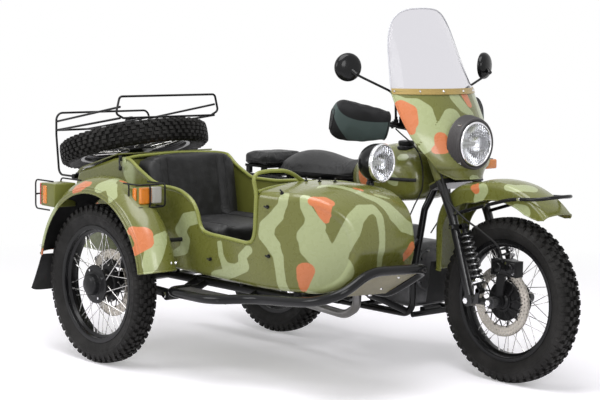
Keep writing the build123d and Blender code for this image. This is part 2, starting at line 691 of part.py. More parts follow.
def make_chassis():
    frame = rod((-300, RAIL_LEFT, CHASSIS_Z), (1140, RAIL_LEFT, CHASSIS_Z), CHASSIS_R)
    frame += rod((-300, RAIL_RIGHT, CHASSIS_Z), (1140, RAIL_RIGHT, CHASSIS_Z), CHASSIS_R)
    for x in (-280, 430, 1100):
        frame += cross(x, CHASSIS_Z, RAIL_RIGHT, RAIL_LEFT, CHASSIS_R - 2)
    for x in (520, 860):
        frame += rod((x, RAIL_RIGHT, CHASSIS_Z), (x, -900, STEP_Z), 14) + cross(x, STEP_Z, -900, -945 + CLEAR, 14)
    frame += rod((*ARM_PIVOT[:1], RAIL_RIGHT, CHASSIS_Z), (ARM_PIVOT[0], -948, ARM_PIVOT[1]), 18)
    frame += cross(*ARM_PIVOT, -1026, -950, 11)
    post_x, post_z = SIDE_PIN_HIGH
    frame += cross(post_x, CHASSIS_Z, POST_Y - 9, RAIL_RIGHT, 13)
    frame += rod((post_x, POST_Y, CHASSIS_Z), (post_x, POST_Y, post_z + 12), 9)
    frame += cross(*SIDE_PIN_HIGH, ARM_Y - 16, POST_Y, PIN_R)
    for x in (-200, 300, 760, 1100):
        for y in (RAIL_RIGHT, RAIL_LEFT):
            frame += rod((x, y, CHASSIS_Z), (x, y, tub_bottom(x) - 0.75), 16)
    for x, low_z, high_x, high_y, high_z in STRUTS:
        frame += rod((x, RAIL_LEFT, CHASSIS_Z), (x, -CRADLE_Y - 8, low_z), 14)
        share = (RAIL_LEFT + 340) / (RAIL_LEFT + CRADLE_Y + 8)
        frame += rod((x, -340, CHASSIS_Z + (low_z - CHASSIS_Z) * share), (high_x, high_y, high_z), 12)
    return frame - pipe(cradle_points(-1), FRAME_R + CLEAR, 60)


def make_side_arm():
    x, z = ARM_PIVOT
    hub_y = -TRACK + HUB_HALF + RUNNING
    arm = eye(x, z, ARM_Y - 30, ARM_Y + 30, 24, 11 + RUNNING)
    arm += rod((x, ARM_Y, z), (SIDECAR_LEAD, ARM_Y, AXLE_Z), 19)
    arm += cross(SIDECAR_LEAD, AXLE_Z, hub_y, ARM_Y + 32, 42)
    arm += cross(SIDECAR_LEAD, AXLE_Z, -TRACK - CAP_IN + CLEAR, ARM_Y, AXLE_R)
    arm += slab(bar_outline(SIDE_PIN_LOW, (195, 345), 12), ARM_Y - 22, ARM_Y - 15)
    arm += cross(*SIDE_PIN_LOW, ARM_Y - 22, ARM_Y + 15, PIN_R)
    arm += cross(*SIDE_PIN_LOW, ARM_Y - 22, ARM_Y - 15, 13)
    arm -= cross(x, z, ARM_Y - 60, ARM_Y + 60, 11 + RUNNING)
    return arm


def make_shocks():
    units = [spring_unit(REAR_PIN_LOW, REAR_PIN_HIGH, side * REAR_SHOCK_Y, 13, 27) for side in (-1, 1)]
    return units + [spring_unit(SIDE_PIN_LOW, SIDE_PIN_HIGH, ARM_Y, 13, 27)]


def make_drive_shaft():
    shaft = cross(0, AXLE_Z, -150 - CLEAR - 44, -150 - CLEAR, 30)
    shaft += cross(SIDECAR_LEAD, AXLE_Z, ARM_Y + 32 + CLEAR, ARM_Y + 70, 30)
    shaft += rod((3, -185, AXLE_Z), (SIDECAR_LEAD - 3, ARM_Y + 62, AXLE_Z), 13)
    return shaft


def make_calipers():
    rear = block(-150, -60, 36, 72, 420, 482)
    rear -= cross(0, AXLE_Z, DISC_IN - 1.5, DISC_OUT + 1.5, DISC_R + 1.5)
    rear += slab(bar_outline((-95, 440), (0, AXLE_Z), 16), 64, 72)
    rear -= cross(0, AXLE_Z, 50, 80, 20 + RUNNING)
    side_y = -TRACK
    side = block(180, 270, side_y + 36, side_y + 72, 420, 482)
    side -= cross(SIDECAR_LEAD, AXLE_Z, side_y + DISC_IN - 1.5, side_y + DISC_OUT + 1.5, DISC_R + 1.5)
    side += slab(bar_outline((215, 440), (SIDECAR_LEAD, AXLE_Z), 16), side_y + 64, side_y + 72)
    side -= cross(SIDECAR_LEAD, AXLE_Z, side_y + 50, side_y + 90, 42 + RUNNING)
    return [rear, side]


def make_bumper():
    path = [(520, -945, STEP_Z), (520, -1062, STEP_Z), (800, -1062, STEP_Z), (960, -962, 378),
            (1180, -956, 394), (1310, -944, 408), (1402, -880, 446), (1402, -742, 520), (1402, -420, 508),
            (1290, -418, 440), (1205, RAIL_LEFT, CHASSIS_Z), (1140 + CLEAR, RAIL_LEFT, CHASSIS_Z)]
    bar = pipe(path, 19, 34)
    bar += block(522, 858, -1060, -950, STEP_Z - 2, PLATE_TOP) + block(525, 800, -1062, -1040, 345, 362)
    bar += cross(860, STEP_Z, -1030, -945, 14)
    return bar


# ---------------------------------------------------------------- sidecar body
def tub_bottom(x):
    """Height of the body's floor line at a station."""
    rows = [(-340, 446), (400, 432), (1150, 412)]
    for (x0, z0), (x1, z1) in zip(rows, rows[1:]):
        if x <= x1:
            return z0 + (z1 - z0) * (x - x0) / (x1 - x0)
    return rows[-1][1]


# Body outlines: place, the way inwards for the inner face, and whether the point is the middle of an arc
SIDE_ROWS = [      # x, z, inwards x, inwards z, on an arc
    (1150, 412, 0.0, 1.0, False), (400, 432, 0.0, 1.0, False), (-335, 446, 1.0, 1.0, False),
    (-358, 745, 1.0, 0.0, False), (-343, 790, 1.0, -0.6, False), (-300, 815, 0.3, -1.0, False),
    (-45, 888, 0.1, -1.0, False), (50, 893, 0.0, -1.0, False), (300, 850, 0.0, -1.0, False),
    (900, 838, 0.0, -1.0, False), (1060, 836, 0.0, -1.0, False), (1262, 768, -0.7, -0.75, True),
    (1340, 612, -1.0, 0.0, False), (1330, 535, -1.0, 0.2, True), (1290, 474, -0.8, 0.6, False),
    (1235, 428, -0.4, 1.0, True), (1150, 412, 0.0, 1.0, False),
]
PLAN_ROWS = [      # x, y, inwards x, inwards y, on an arc
    (850, TUB_RIGHT, 0.0, 1.0, False), (-400, TUB_RIGHT, 0.0, 1.0, False), (-400, TUB_LEFT, 0.0, -1.0, False),
    (1240, TUB_LEFT - 12, 0.0, -1.0, False), (1348, -432, -0.6, -0.8, True), (1395, -540, -1.0, 0.0, False),
    (1372, -614, -0.89, 0.45, False), (1185, -829, -0.57, 0.82, True), (850, TUB_RIGHT, 0.0, 1.0, False),
]


def body_outline(rows, inset):
    """Lines and arcs through the rows, each point moved inwards by the inset."""
    points = [(a + inset * da, b + inset * db) for a, b, da, db, _ in rows]
    arcs = [row[4] for row in rows]
    edge = None
    for i in range(len(points) - 1):
        if arcs[i]:
            continue
        step = ThreePointArc(*points[i:i + 3]) if arcs[i + 1] else Line(points[i], points[i + 1])
        edge = step if edge is None else edge + step
    return edge


def tub_solid(inset):
    """The closed body: its side outline carried across and cut to its plan."""
    side = make_face(Plane((0, 0, 0), x_dir=(1, 0, 0), z_dir=(0, -1, 0)) * body_outline(SIDE_ROWS, inset))
    plan = make_face(Plane.XY.offset(300) * body_outline(PLAN_ROWS, inset))
    return extrude(side, 1000, dir=(0, -1, 0)) & extrude(plan, 700, dir=(0, 0, 1))


def make_tub():
    outer = tub_solid(0)
    tub = outer - tub_solid(TUB_WALL)
    bulkhead = outer & slab([(30, 900), (38, 900), (96, 430), (88, 430)], TUB_RIGHT + 1, TUB_LEFT - 1)
    tub += bulkhead
    right = [(45, 1000), (45, 889), (135, 838), (230, 793), (303, 777), (437, 767), (527, 723), (569, 639),
             (600, 605), (640, 600), (880, 592), (925, 603), (935, 640), (935, 1000)]
    left = [(45, 1000), (60, 882), (129, 830), (244, 778), (420, 778), (573, 800), (935, 812), (935, 1000)]
    tub -= slab(right, TUB_RIGHT - 5, TUB_LEFT - TUB_WALL)
    tub -= slab(left, TUB_LEFT - TUB_WALL - 1, TUB_LEFT + 5)
    tub -= slab([(-60, 1000), (-60, 840), (-298, 772), (-298, 1000)], TUB_RIGHT + 48, TUB_LEFT - 40)
    return tub.solids().sort_by(SortBy.VOLUME)[-1]


def build_tub_fittings():
    """Rim tubes round the cockpit, the grab handle across its front and the seat box on the floor."""
    y = TUB_RIGHT + 4
    rim = pipe([(48, y, 896), (135, y, 846), (230, y, 801), (303, y, 785), (437, y, 775), (527, y, 731),
                (574, y, 644), (600, y, 613), (640, y, 608), (878, y, 600), (922, y, 609), (933, y, 645),
                (935, y, 800)], 9, 9)
    rim += pipe([(935, y, 790), (935, y + 2, 872), (935, y + 60, 884), (935, y + 180, 884), (935, -640, 832)], 10, 24)
    y = TUB_LEFT - 4
    rim += pipe([(48, y, 893), (62, y, 889), (131, y, 838), (246, y, 786), (420, y, 786), (573, y, 808),
                 (935, y, 820)], 9, 9)
    box = block(230, 610, TUB_RIGHT + 40, TUB_LEFT - 40, 438, CUSHION_LOW - CLEAR)
    return rim + box


SIDE_GUARD = ((125.0, 378.0), -1095.0, 95.0, 370.0, 437.0)     # middle, plane, half width, lip and crown radius
REAR_GUARD = ((0.0, AXLE_Z), 0.0, 78.0, 372.0, 394.0)


def make_mudguard_side():
    guard = crown_guard(*SIDE_GUARD, 3, 10, 160)
    for angle in (30, 90, 150):
        x = 125 + 371 * cos(radians(angle))
        z = 378 + 371 * sin(radians(angle))
        guard += cross(x, z, -1004, TUB_RIGHT - CLEAR, 9)
    return guard


def make_mud_flap():
    return slab([(-235, 441.5), (-243, 441.5), (-330, 268), (-322, 268)], -1189, -1001)


def guard_core(middle, y, half, lip, crown, grow):
    """A mudguard's full outer shape, filled and grown, for seating what is bolted to it."""
    x, z = middle
    edge = ThreePointArc((-half - grow, lip), (0, crown + grow), (half + grow, lip))
    edge += Polyline((half + grow, lip), (half + grow, lip - 40), (-half - grow, lip - 40), (-half - grow, lip))
    return Pos(x, y, z) * revolve(make_face(Plane.YZ * edge), Axis.Y)


def make_marker_lamps():
    front = block(262, 402, -1120, -1004, 716, 790) - guard_core(*SIDE_GUARD, CLEAR)
    rear = block(-300, -190, -1165, -1050, 655, 760) - guard_core(*SIDE_GUARD, CLEAR)
    return [front.solids().sort_by(Axis.X)[-1], rear.solids().sort_by(Axis.X)[0]]


def make_seat_back():
    return fillet(slab([(50, 892), (150, 900), (205, 560), (108, 560)], -895, -405).edges(), 14)


def make_seat_cushion():
    return fillet(block(212, 650, -897, -412, CUSHION_LOW, 628).edges(), 18)


def make_spotlight(tub):
    x, y, z = 1142, -425, 913
    shell = x_cylinder(x - 45, x, y, z, 80) + x_cylinder(x - 115, x - 45, y, z, 38, 80)
    stem = rod((1072, y, z - 20), (1072, y, 790), 13)
    return (shell + stem) - tub_solid(0).moved(Location((0, 0, CLEAR)))


# ---------------------------------------------------------------- boot lid, spare carrier and rack
def lid_at(x, y, lift):
    """A point above the boot's sloping top."""
    tilt = radians(SPARE_TILT)
    z = 815 + (x + 300) * tan(tilt)
    return (x - lift * sin(tilt), y, z + lift * cos(tilt))


def make_lid():
    lift0, lift1 = 0.5, 6.0
    a, b = lid_at(-318, 0, lift0), lid_at(-40, 0, lift0)
    c, d = lid_at(-40, 0, lift1), lid_at(-318, 0, lift1)
    lid = slab([(p[0], p[2]) for p in (a, b, c, d)], TUB_RIGHT + 12, TUB_LEFT - 12)
    normal = Vector(-sin(radians(SPARE_TILT)), 0, cos(radians(SPARE_TILT)))
    hub = Vector(SPARE_X, SPARE_Y, SPARE_Z)
    foot = hub - normal * 88
    lid += rod(tuple(foot), tuple(hub - normal * (HUB_HALF + CLEAR)), 40)
    lid += rod(tuple(foot), tuple(hub + normal * 108), AXLE_R)
    for y in (-896.4, -409.6):
        arm = slab([(-300, 818), (-300, 826), (-372, 806), (-402, 780), (-402, 752), (-374, 752), (-362, 796),
                    (-330, 808)], y, y + 6)
        arm -= cross(HINGE_X, HINGE_Z, y - 5, y + 12, 5 + RUNNING)
        lid += arm
    return lid


RACK_FRONT = (-30.0, 1052.0)
RACK_REAR = (-540.0, 970.0)


def rack_z(x):
    (x0, z0), (x1, z1) = RACK_REAR, RACK_FRONT
    return z0 + (z1 - z0) * (x - x0) / (x1 - x0)


def make_rack():
    right, left = -938.0, -362.0
    x0, x1 = RACK_REAR[0], RACK_FRONT[0]
    z0, z1 = RACK_REAR[1], RACK_FRONT[1]
    rack = pipe([(x1, right + 40, z1), (x1, right, z1 + 20), (x1, right + 20, z1 + 96), (x1, left - 20, z1 + 96),
                 (x1, left, z1 + 20), (x1, left - 40, z1)], 5, 18)
    rack += rod((x1, right + 38, z1), (x1, left - 38, z1), 4.8)
    for y, hinge_y in ((right + 22, -915), (left - 22, -385)):
        rack += rod((x1, y, z1), (x0, y, z0), 5)
        rack += rod((x1, y, z1 + 50), (x0, y, z0 + 40), 5)
        rack += pipe([(x0, (right + left) / 2, z0 + 80), (x0, y, z0 + 80), (x0, y, z0 - 20),
                      (x0 + 22, hinge_y, HINGE_Z), (HINGE_X, hinge_y, HINGE_Z)], 5, 34)
        rack += cross(HINGE_X, HINGE_Z, hinge_y - 11, hinge_y + 11, 12)
    rack += rod((x0, right + 22, z0), (x0, left - 22, z0), 5)
    for y in (-750, -550):
        rack += rod((x1, y, z1), (x0, y, z0), 4)
    normal = Vector(-sin(radians(SPARE_TILT)), 0, cos(radians(SPARE_TILT)))
    hub = Vector(SPARE_X, SPARE_Y, SPARE_Z)
    knot = hub + normal * 93
    rack += rod((knot.X, -750, rack_z(knot.X)), (knot.X, -550, rack_z(knot.X)), 4.5)
    rack += rod(tuple(knot - normal * 12), tuple(knot + normal * 12), 16)
    rack -= rod(tuple(hub), tuple(hub + normal * 200), AXLE_R + RUNNING)
    for y in (-915, -385):
        rack -= cross(HINGE_X, HINGE_Z, y - 20, y + 20, 5 + RUNNING)
    return rack


def make_hinge_lugs():
    """Two lugs on the body's back, each with the pin that the rack's leg and the lid's arm turn on."""
    lugs = None
    for y, pin0, pin1 in ((-903, -928, -889), (-402.9, -416, -372)):
        lug = slab([(-350, 748), (-350, 782), (-396, 776), (-402, 765), (-396, 754)], y, y + 5.5)
        lug += cross(HINGE_X, HINGE_Z, pin0, pin1, 5)
        lugs = lug if lugs is None else lugs + lug
    return lugs


def main():
    os.makedirs("parts", exist_ok=True)
    write_wheels()
    put("fork", make_fork())
    put("front_shocks", *make_front_shocks())
    put("front_caliper", make_front_caliper())
    put("front_mudguard", make_front_mudguard())
    put("mudguard_rail", make_mudguard_rail())
    put("headlight", make_headlight())
    put("fairing", make_fairing())
    put("windscreen", arc_shell(SCREEN_ROWS, FAIRING_WALL))
    put("handlebar", make_handlebar())
    put("mirrors", make_mirror(-1), make_mirror(1))
    put("hand_muffs", make_hand_muff(-1), make_hand_muff(1))
    put("front_indicator", make_front_indicator())
    put("main_frame", make_main_frame())
    put("swing_arm", make_swing_arm())
    put("engine_block", make_engine())
    put("engine_cylinders", make_cylinder(-1), make_cylinder(1))
    put("exhaust", make_exhaust(-1), make_exhaust(1))
    put("fuel_tank", make_tank())
    put("saddle", make_saddle())
    put("saddle_base", make_saddle_base())
    put("pillion_pad", make_pillion())
    put("rear_mudguard", make_rear_mudguard())
    put("tail_lamp", make_tail_lamp())
    put("foot_controls", make_foot_controls(-1), make_foot_controls(1))
    put("centre_stand", make_stand())
    put("sidecar_frame", make_chassis())
    put("sidecar_arm", make_side_arm())
    put("shock_absorbers", *make_shocks())
    put("drive_shaft", make_drive_shaft())
    put("brake_calipers", *make_calipers())
    put("bumper", make_bumper())
    tub = make_tub()
    put("sidecar_body", tub + make_hinge_lugs() + build_tub_fittings())
    put("sidecar_mudguard", make_mudguard_side())
    put("mud_flap", make_mud_flap())
    put("marker_lamps", *make_marker_lamps())
    put("seat_back", make_seat_back())
    put("seat_cushion", make_seat_cushion())
    put("spotlight", make_spotlight(tub))
    put("boot_lid", make_lid())
    put("luggage_rack", make_rack())


main()
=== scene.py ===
import bmesh
import bpy
import numpy as np
from mathutils import Matrix, Vector
from mathutils.bvhtree import BVHTree


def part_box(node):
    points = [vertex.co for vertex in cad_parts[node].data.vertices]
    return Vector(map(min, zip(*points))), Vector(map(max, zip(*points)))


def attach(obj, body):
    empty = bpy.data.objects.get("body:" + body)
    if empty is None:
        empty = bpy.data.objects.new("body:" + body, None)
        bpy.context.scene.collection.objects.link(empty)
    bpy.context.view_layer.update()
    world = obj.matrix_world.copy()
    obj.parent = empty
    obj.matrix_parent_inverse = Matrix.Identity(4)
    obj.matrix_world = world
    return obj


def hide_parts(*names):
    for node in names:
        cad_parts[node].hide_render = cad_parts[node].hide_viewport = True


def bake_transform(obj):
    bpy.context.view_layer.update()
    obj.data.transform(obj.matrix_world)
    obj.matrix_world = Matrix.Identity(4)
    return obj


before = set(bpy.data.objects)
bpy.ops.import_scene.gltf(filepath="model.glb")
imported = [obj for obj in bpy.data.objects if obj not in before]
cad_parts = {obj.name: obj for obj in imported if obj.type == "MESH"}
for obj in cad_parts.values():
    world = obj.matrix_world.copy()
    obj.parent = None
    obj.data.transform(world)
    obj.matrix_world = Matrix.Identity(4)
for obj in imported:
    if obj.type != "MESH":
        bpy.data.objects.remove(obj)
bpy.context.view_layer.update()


# ---- camera, floor and lights
# A long lens from the right front, a pale floor and three large soft lamps in a white room.
# Everything below is placed from the rear axle's middle, on the ground, as the frame has it.
low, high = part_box("rear_tyre")
REAR = np.array([(low.x + high.x) / 2, (low.y + high.y) / 2, 0.0])
AXLE_Z = (low.z + high.z) / 2
BACK_AZIMUTH, ELEVATION, ROLL = np.radians((48.55, 6.02, 0.74))
CAMERA_AT = REAR + np.array([6.081, -5.243, 1.483])
LENS_MM = 100.9


def placed(name, data):
    """A new object in the scene."""
    thing = bpy.data.objects.new(name, data)
    bpy.context.scene.collection.objects.link(thing)
    return thing


def aim_camera():
    """The camera's matrix has for columns picture right, picture up and backwards, the first two rolled."""
    back = np.array([np.sin(BACK_AZIMUTH) * np.cos(ELEVATION), -np.cos(BACK_AZIMUTH) * np.cos(ELEVATION),
        np.sin(ELEVATION)])
    right = np.array([np.cos(BACK_AZIMUTH), np.sin(BACK_AZIMUTH), 0.0])
    up = np.cross(back, right)
    across = np.cos(ROLL) * right + np.sin(ROLL) * up
    rise = np.cos(ROLL) * up - np.sin(ROLL) * right
    data = bpy.data.cameras.new("camera")
    data.lens = LENS_MM
    data.clip_end = 100
    camera = placed("camera", data)
    matrix = np.eye(4)
    matrix[:3, 0], matrix[:3, 1], matrix[:3, 2], matrix[:3, 3] = across, rise, back, CAMERA_AT
    camera.matrix_world = Matrix(matrix.tolist())
    bpy.context.scene.camera = camera


def soft_lamp(name, place, target, size, power):
    """A square area lamp turned to face its target."""
    data = bpy.data.lights.new(name, "AREA")
    data.shape = "SQUARE"
    data.size = size
    data.energy = power
    lamp = placed(name, data)
    lamp.location = place
    lamp.rotation_euler = (Vector(target) - Vector(place)).to_track_quat("-Z", "Y").to_euler()


def new_material(name, colour, roughness, metallic=0.0, **sockets):
    """A plain shader with its whole-surface values set; returns the material and its shader node."""
    mat = bpy.data.materials.new(name)
    mat.use_nodes = True
    shader = mat.node_tree.nodes["Principled BSDF"]
    shader.inputs["Base Color"].default_value = (*colour, 1)
    shader.inputs["Roughness"].default_value = roughness
    shader.inputs["Metallic"].default_value = metallic
    for socket, value in sockets.items():
        shader.inputs[socket.replace("_", " ")].default_value = value
    return mat, shader


def node(mat, kind, wires=(), **values):
    """A shader node: its settings by name, its sockets by number as (socket, output or value) pairs."""
    made = mat.node_tree.nodes.new("ShaderNode" + kind)
    for key, value in values.items():
        setattr(made, key, value)
    for socket, source in wires:
        if isinstance(source, bpy.types.NodeSocket):
            mat.node_tree.links.new(source, made.inputs[socket])
        else:
            made.inputs[socket].default_value = source
    return made


def wire(source, target, socket):
    """Joins an output to a node's socket."""
    target.id_data.links.new(source, target.inputs[socket])


def reckoned(mat, operation, *values):
    """One sum on outputs or numbers."""
    return node(mat, "Math", list(enumerate(values)), operation=operation).outputs[0]


def spread(mat, source, low, high, out_low=0.0, out_high=1.0):
    """A value stretched from one range to another, held inside it."""
    return node(mat, "MapRange", [(0, source), (1, low), (2, high), (3, out_low), (4, out_high)]).outputs[0]


def white_room(strength, seen):
    """A world of one level of light, shown as plain white to the camera, in mirrors and through glass."""
    world = bpy.data.worlds.new("room")
    bpy.context.scene.world = world
    world.use_nodes = True
    light = world.node_tree.nodes["Background"]
    light.inputs["Color"].default_value = (1, 1, 1, 1)
    light.inputs["Strength"].default_value = strength
    shown = node(world, "Background", [("Color", (1, 1, 1, 1)), ("Strength", seen)])
    path = node(world, "LightPath")
    either = path.outputs["Is Camera Ray"]
    for ray in ("Is Glossy Ray", "Is Transmission Ray"):
        either = reckoned(world, "MAXIMUM", either, path.outputs[ray])
    mix = node(world, "MixShader", [(0, either), (1, light.outputs[0]), (2, shown.outputs[0])])
    wire(mix.outputs[0], world.node_tree.nodes["World Output"], "Surface")


def lay_floor(half, shade, glow, fade_from, fade_to):
    """A wide flat floor with a glow of its own, which fades to plain white away from the object."""
    mesh = bpy.data.meshes.new("floor")
    mesh.from_pydata([(-half, -half, 0), (half, -half, 0), (half, half, 0), (-half, half, 0)], [],
        [(0, 1, 2, 3)])
    mat, surface = new_material("pale floor", shade, 0.6, Specular_IOR_Level=0.15,
        Emission_Color=(1, 1, 1, 1), Emission_Strength=glow)
    away = node(mat, "VectorMath", [(0, node(mat, "NewGeometry").outputs["Position"])], operation="LENGTH")
    fade = spread(mat, away.outputs["Value"], fade_from, fade_to)
    white = node(mat, "Emission")
    mix = node(mat, "MixShader", [(0, fade), (1, surface.outputs[0]), (2, white.outputs[0])])
    wire(mix.outputs[0], mat.node_tree.nodes["Material Output"], "Surface")
    mesh.materials.append(mat)
    placed("floor", mesh)


aim_camera()
bpy.context.scene.view_settings.view_transform = "Standard"
white_room(strength=0.4, seen=1.0)
lay_floor(half=40.0, shade=(0.84, 0.82, 0.87), glow=0.3, fade_from=1.6, fade_to=4.2)
soft_lamp("lamp over", (0.6, -1.2, 4.2), (0.1, -0.2, 0.4), 3.0, 170)
soft_lamp("lamp front", (4.6, -2.2, 2.4), (0.2, -0.1, 0.6), 1.8, 70)
soft_lamp("lamp side", (-1.5, -4.8, 2.6), (0.0, 0.0, 0.5), 2.0, 78)


# ---- tyres
# Four rubber block-tread tyres on 19 inch rims: a moulded carcass with square shoulders, five rows
# of lugs on its crown, a row of small blocks on each shoulder, and a rim band and bead lines on the wall.
TYRE_R, TYRE_HALF, BEAD_R, RIM_HALF = 0.346, 0.054, 0.243, 0.034
PLACES = {"front": (Vector((REAR[0] + 1.475, REAR[1], AXLE_Z)), Matrix.Identity(3), "front_roller"),
    "rear": (Vector((REAR[0], REAR[1], AXLE_Z)), Matrix.Identity(3), "rear_roller"),
    "sidecar": (Vector((REAR[0] + 0.1, REAR[1] - 1.1, AXLE_Z)), Matrix.Identity(3), "side_roller"),
    "spare": (Vector((REAR[0] - 0.29, REAR[1] - 0.65, 0.913)), Matrix.Rotation(np.radians(-16), 3, "Y")
    @ Matrix.Rotation(np.radians(90), 3, "X"), "lid")}


def grid(points, wrap_u=False, wrap_v=False):
    """Corners and four-sided faces of a surface given as rows of points; a wrapped side closes up."""
    rows, cols = points.shape[:2]
    i = np.arange(rows if wrap_u else rows - 1)
    j = np.arange(cols if wrap_v else cols - 1)
    i, j = [a.ravel() for a in np.meshgrid(i, j, indexing="ij")]
    i2, j2 = (i + 1) % rows, (j + 1) % cols
    faces = np.stack([i * cols + j, i2 * cols + j, i2 * cols + j2, i * cols + j2], 1)
    return points.reshape(-1, 3), faces


def together(parts):
    """One set of corners and faces from several."""
    starts = np.cumsum([0] + [len(p[0]) for p in parts])
    corners = np.concatenate([p[0] for p in parts])
    return corners, np.concatenate([p[1] + s for p, s in zip(parts, starts)])


def flipped(part):
    """The same surface with its faces turned over."""
    return part[0], part[1][:, ::-1]


def merged(mesh, outward=False):
    """Closes a mesh's seams, and can turn its faces outwards."""
    form = bmesh.new()
    form.from_mesh(mesh)
    bmesh.ops.remove_doubles(form, verts=form.verts, dist=1e-5)
    if outward:
        bmesh.ops.recalc_face_normals(form, faces=form.faces)
    form.to_mesh(mesh)
    form.free()
    return mesh


def piece(name, part, material, body, stands_for=(), crease=30):
    """Puts corners and faces into an object, its seams closed and its faces outwards. It rides on a body
    named by a string; any other body, such as (one, other, start, end), leaves it in place with its transform
    applied."""
    corners, faces = part
    mesh = bpy.data.meshes.new(name)
    mesh.from_pydata(corners.tolist(), [], faces.tolist())
    merged(mesh, outward=True)
    mesh.polygons.foreach_set("use_smooth", np.ones(len(mesh.polygons), bool))
    mesh.set_sharp_from_angle(angle=np.radians(crease))
    mesh.materials.append(material)
    thing = placed(name, mesh)
    if isinstance(body, str):
        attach(thing, body)
    else:
        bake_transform(thing)
    if stands_for:
        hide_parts(*stands_for)
    return thing


def round_turn(count, offset=0.0):
    """Angles spaced evenly round a full turn."""
    return (np.arange(count) + offset) * 2 * np.pi / count


def points_of(x, y, z):
    """Points from their x, y and z, each a number, a row or a whole grid."""
    return np.stack(np.broadcast_arrays(x, y, z), -1)


def on_circle(angle, radius, along):
    """Points round the y axis: x = r cos a, z = r sin a."""
    return points_of(radius * np.cos(angle), along, radius * np.sin(angle))


def lathe(profile, steps):
    """Turns (along y, radius) rows about the y axis."""
    profile = np.asarray(profile, float)
    angle = round_turn(steps)[:, None]
    return grid(on_circle(angle, profile[:, 1], profile[:, 0]), wrap_u=True)


def moved(part, place, turn=None):
    """A part turned, then moved."""
    corners = part[0]
    if turn is not None:
        corners = corners @ np.array(turn).T
    return corners + np.array(place), part[1]


def eased(rows, per_arc=5, bend=0.004):
    """A profile with each corner cut by a short curve: a quadratic through the corner's two shoulders."""
    rows = np.asarray(rows, float)
    before, at, after = rows[:-2], rows[1:-1], rows[2:]
    to_before, to_after = before - at, after - at
    length_b = np.linalg.norm(to_before, axis=1, keepdims=True)
    length_a = np.linalg.norm(to_after, axis=1, keepdims=True)
    b = at + to_before / length_b * np.minimum(bend, 0.45 * length_b)
    a = at + to_after / length_a * np.minimum(bend, 0.45 * length_a)
    s = np.linspace(0, 1, per_arc)[None, :, None]
    curve = (1 - s) ** 2 * b[:, None] + 2 * s * (1 - s) * at[:, None] + s ** 2 * a[:, None]
    return np.concatenate([rows[:1], curve.reshape(-1, rows.shape[1]), rows[-1:]])


def lug_boxes(centre_y, half_y, half_turn, low_r, high_r, count, offset, taper=0.86):
    """A ring of blocks: each is eight corners, its top face smaller than its foot by the taper."""
    angle = round_turn(count, offset)
    side_a = np.array([-1, 1, 1, -1, -1, 1, 1, -1])
    side_y = np.array([-1, -1, 1, 1, -1, -1, 1, 1])
    top = np.array([0, 0, 0, 0, 1, 1, 1, 1])
    shrink = np.where(top, taper, 1.0)
    a = angle[:, None] + side_a * shrink * half_turn
    y = np.broadcast_to(centre_y + side_y * shrink * half_y, a.shape)
    lean = (np.abs(y) / TYRE_HALF) ** 3 * 0.01
    r = np.where(top, high_r, low_r) - lean
    corners = on_circle(a, r, y).reshape(-1, 3)
    box = np.array([[4, 5, 6, 7], [0, 1, 5, 4], [1, 2, 6, 5], [2, 3, 7, 6], [3, 0, 4, 7]])
    faces = (box[None] + 8 * np.arange(count)[:, None, None]).reshape(-1, 4)
    return corners, faces[:, ::-1]


def tyre_shape():
    """Carcass lathed from bead to bead, with rings of lugs on its crown and shoulders."""
    wall = [(-RIM_HALF + 0.004, BEAD_R), (-RIM_HALF, 0.2445), (-RIM_HALF - 0.001, 0.256), (-0.0405, 0.262),
        (-0.0415, 0.266), (-0.0465, 0.274), (-0.0512, 0.29), (-0.052, 0.2995), (-0.0533, 0.3015),
        (-0.0533, 0.3045), (-0.0518, 0.3065), (-0.0495, 0.318), (-0.044, 0.326), (-0.03, 0.332), (0, 0.334)]
    wall = np.array(wall)
    whole = np.concatenate([wall, (wall * [-1, 1])[-2::-1]])
    rows = [(0.0, 0.0085, 0.024, 62, 0.0), (0.0185, 0.0075, 0.028, 54, 0.25),
        (-0.0185, 0.0075, 0.028, 54, 0.75), (0.0345, 0.0065, 0.026, 54, 0.75),
        (-0.0345, 0.0065, 0.026, 54, 0.25)]
    lugs = [lug_boxes(y, half, half_turn * 1.35, 0.326, TYRE_R, count, offset) for y, half, half_turn,
        count, offset in rows]
    for side in (-1, 1):
        lugs.append(lug_boxes(side * 0.0475, 0.0045, 0.022, 0.3, 0.337, 54, 0.25 if side > 0 else 0.75,
            0.8))
    return together([lathe(whole, 128)] + lugs)


def object_place(mat):
    """The surface point in the object's own frame, which is the outfit's."""
    return node(mat, "TexCoord").outputs["Object"]


def noise(mat, scale, detail=3.0, rough=0.5, vector=None):
    """Cloudy noise of a given scale on the object's own place."""
    return node(mat, "TexNoise", [("Vector", vector or object_place(mat)), ("Scale", scale),
        ("Detail", detail), ("Roughness", rough)]).outputs["Fac"]


def mixed(mat, share, first, second):
    """A colour between two, by a share."""
    first, second = ((*c, 1.0) if isinstance(c, (tuple, list)) else c for c in (first, second))
    return node(mat, "Mix", [(0, share), (6, first), (7, second)], data_type="RGBA").outputs[2]


def bumped(mat, shader, height, depth, strength=1.0):
    """Raises the surface by a height pattern."""
    made = node(mat, "Bump", [("Height", height), ("Distance", depth), ("Strength", strength)])
    wire(made.outputs[0], shader, "Normal")


def uneven_gloss(mat, shader, scale, detail, low, high):
    """A roughness that wanders between two values."""
    wire(spread(mat, noise(mat, scale, detail), 0.3, 0.7, low, high), shader, "Roughness")


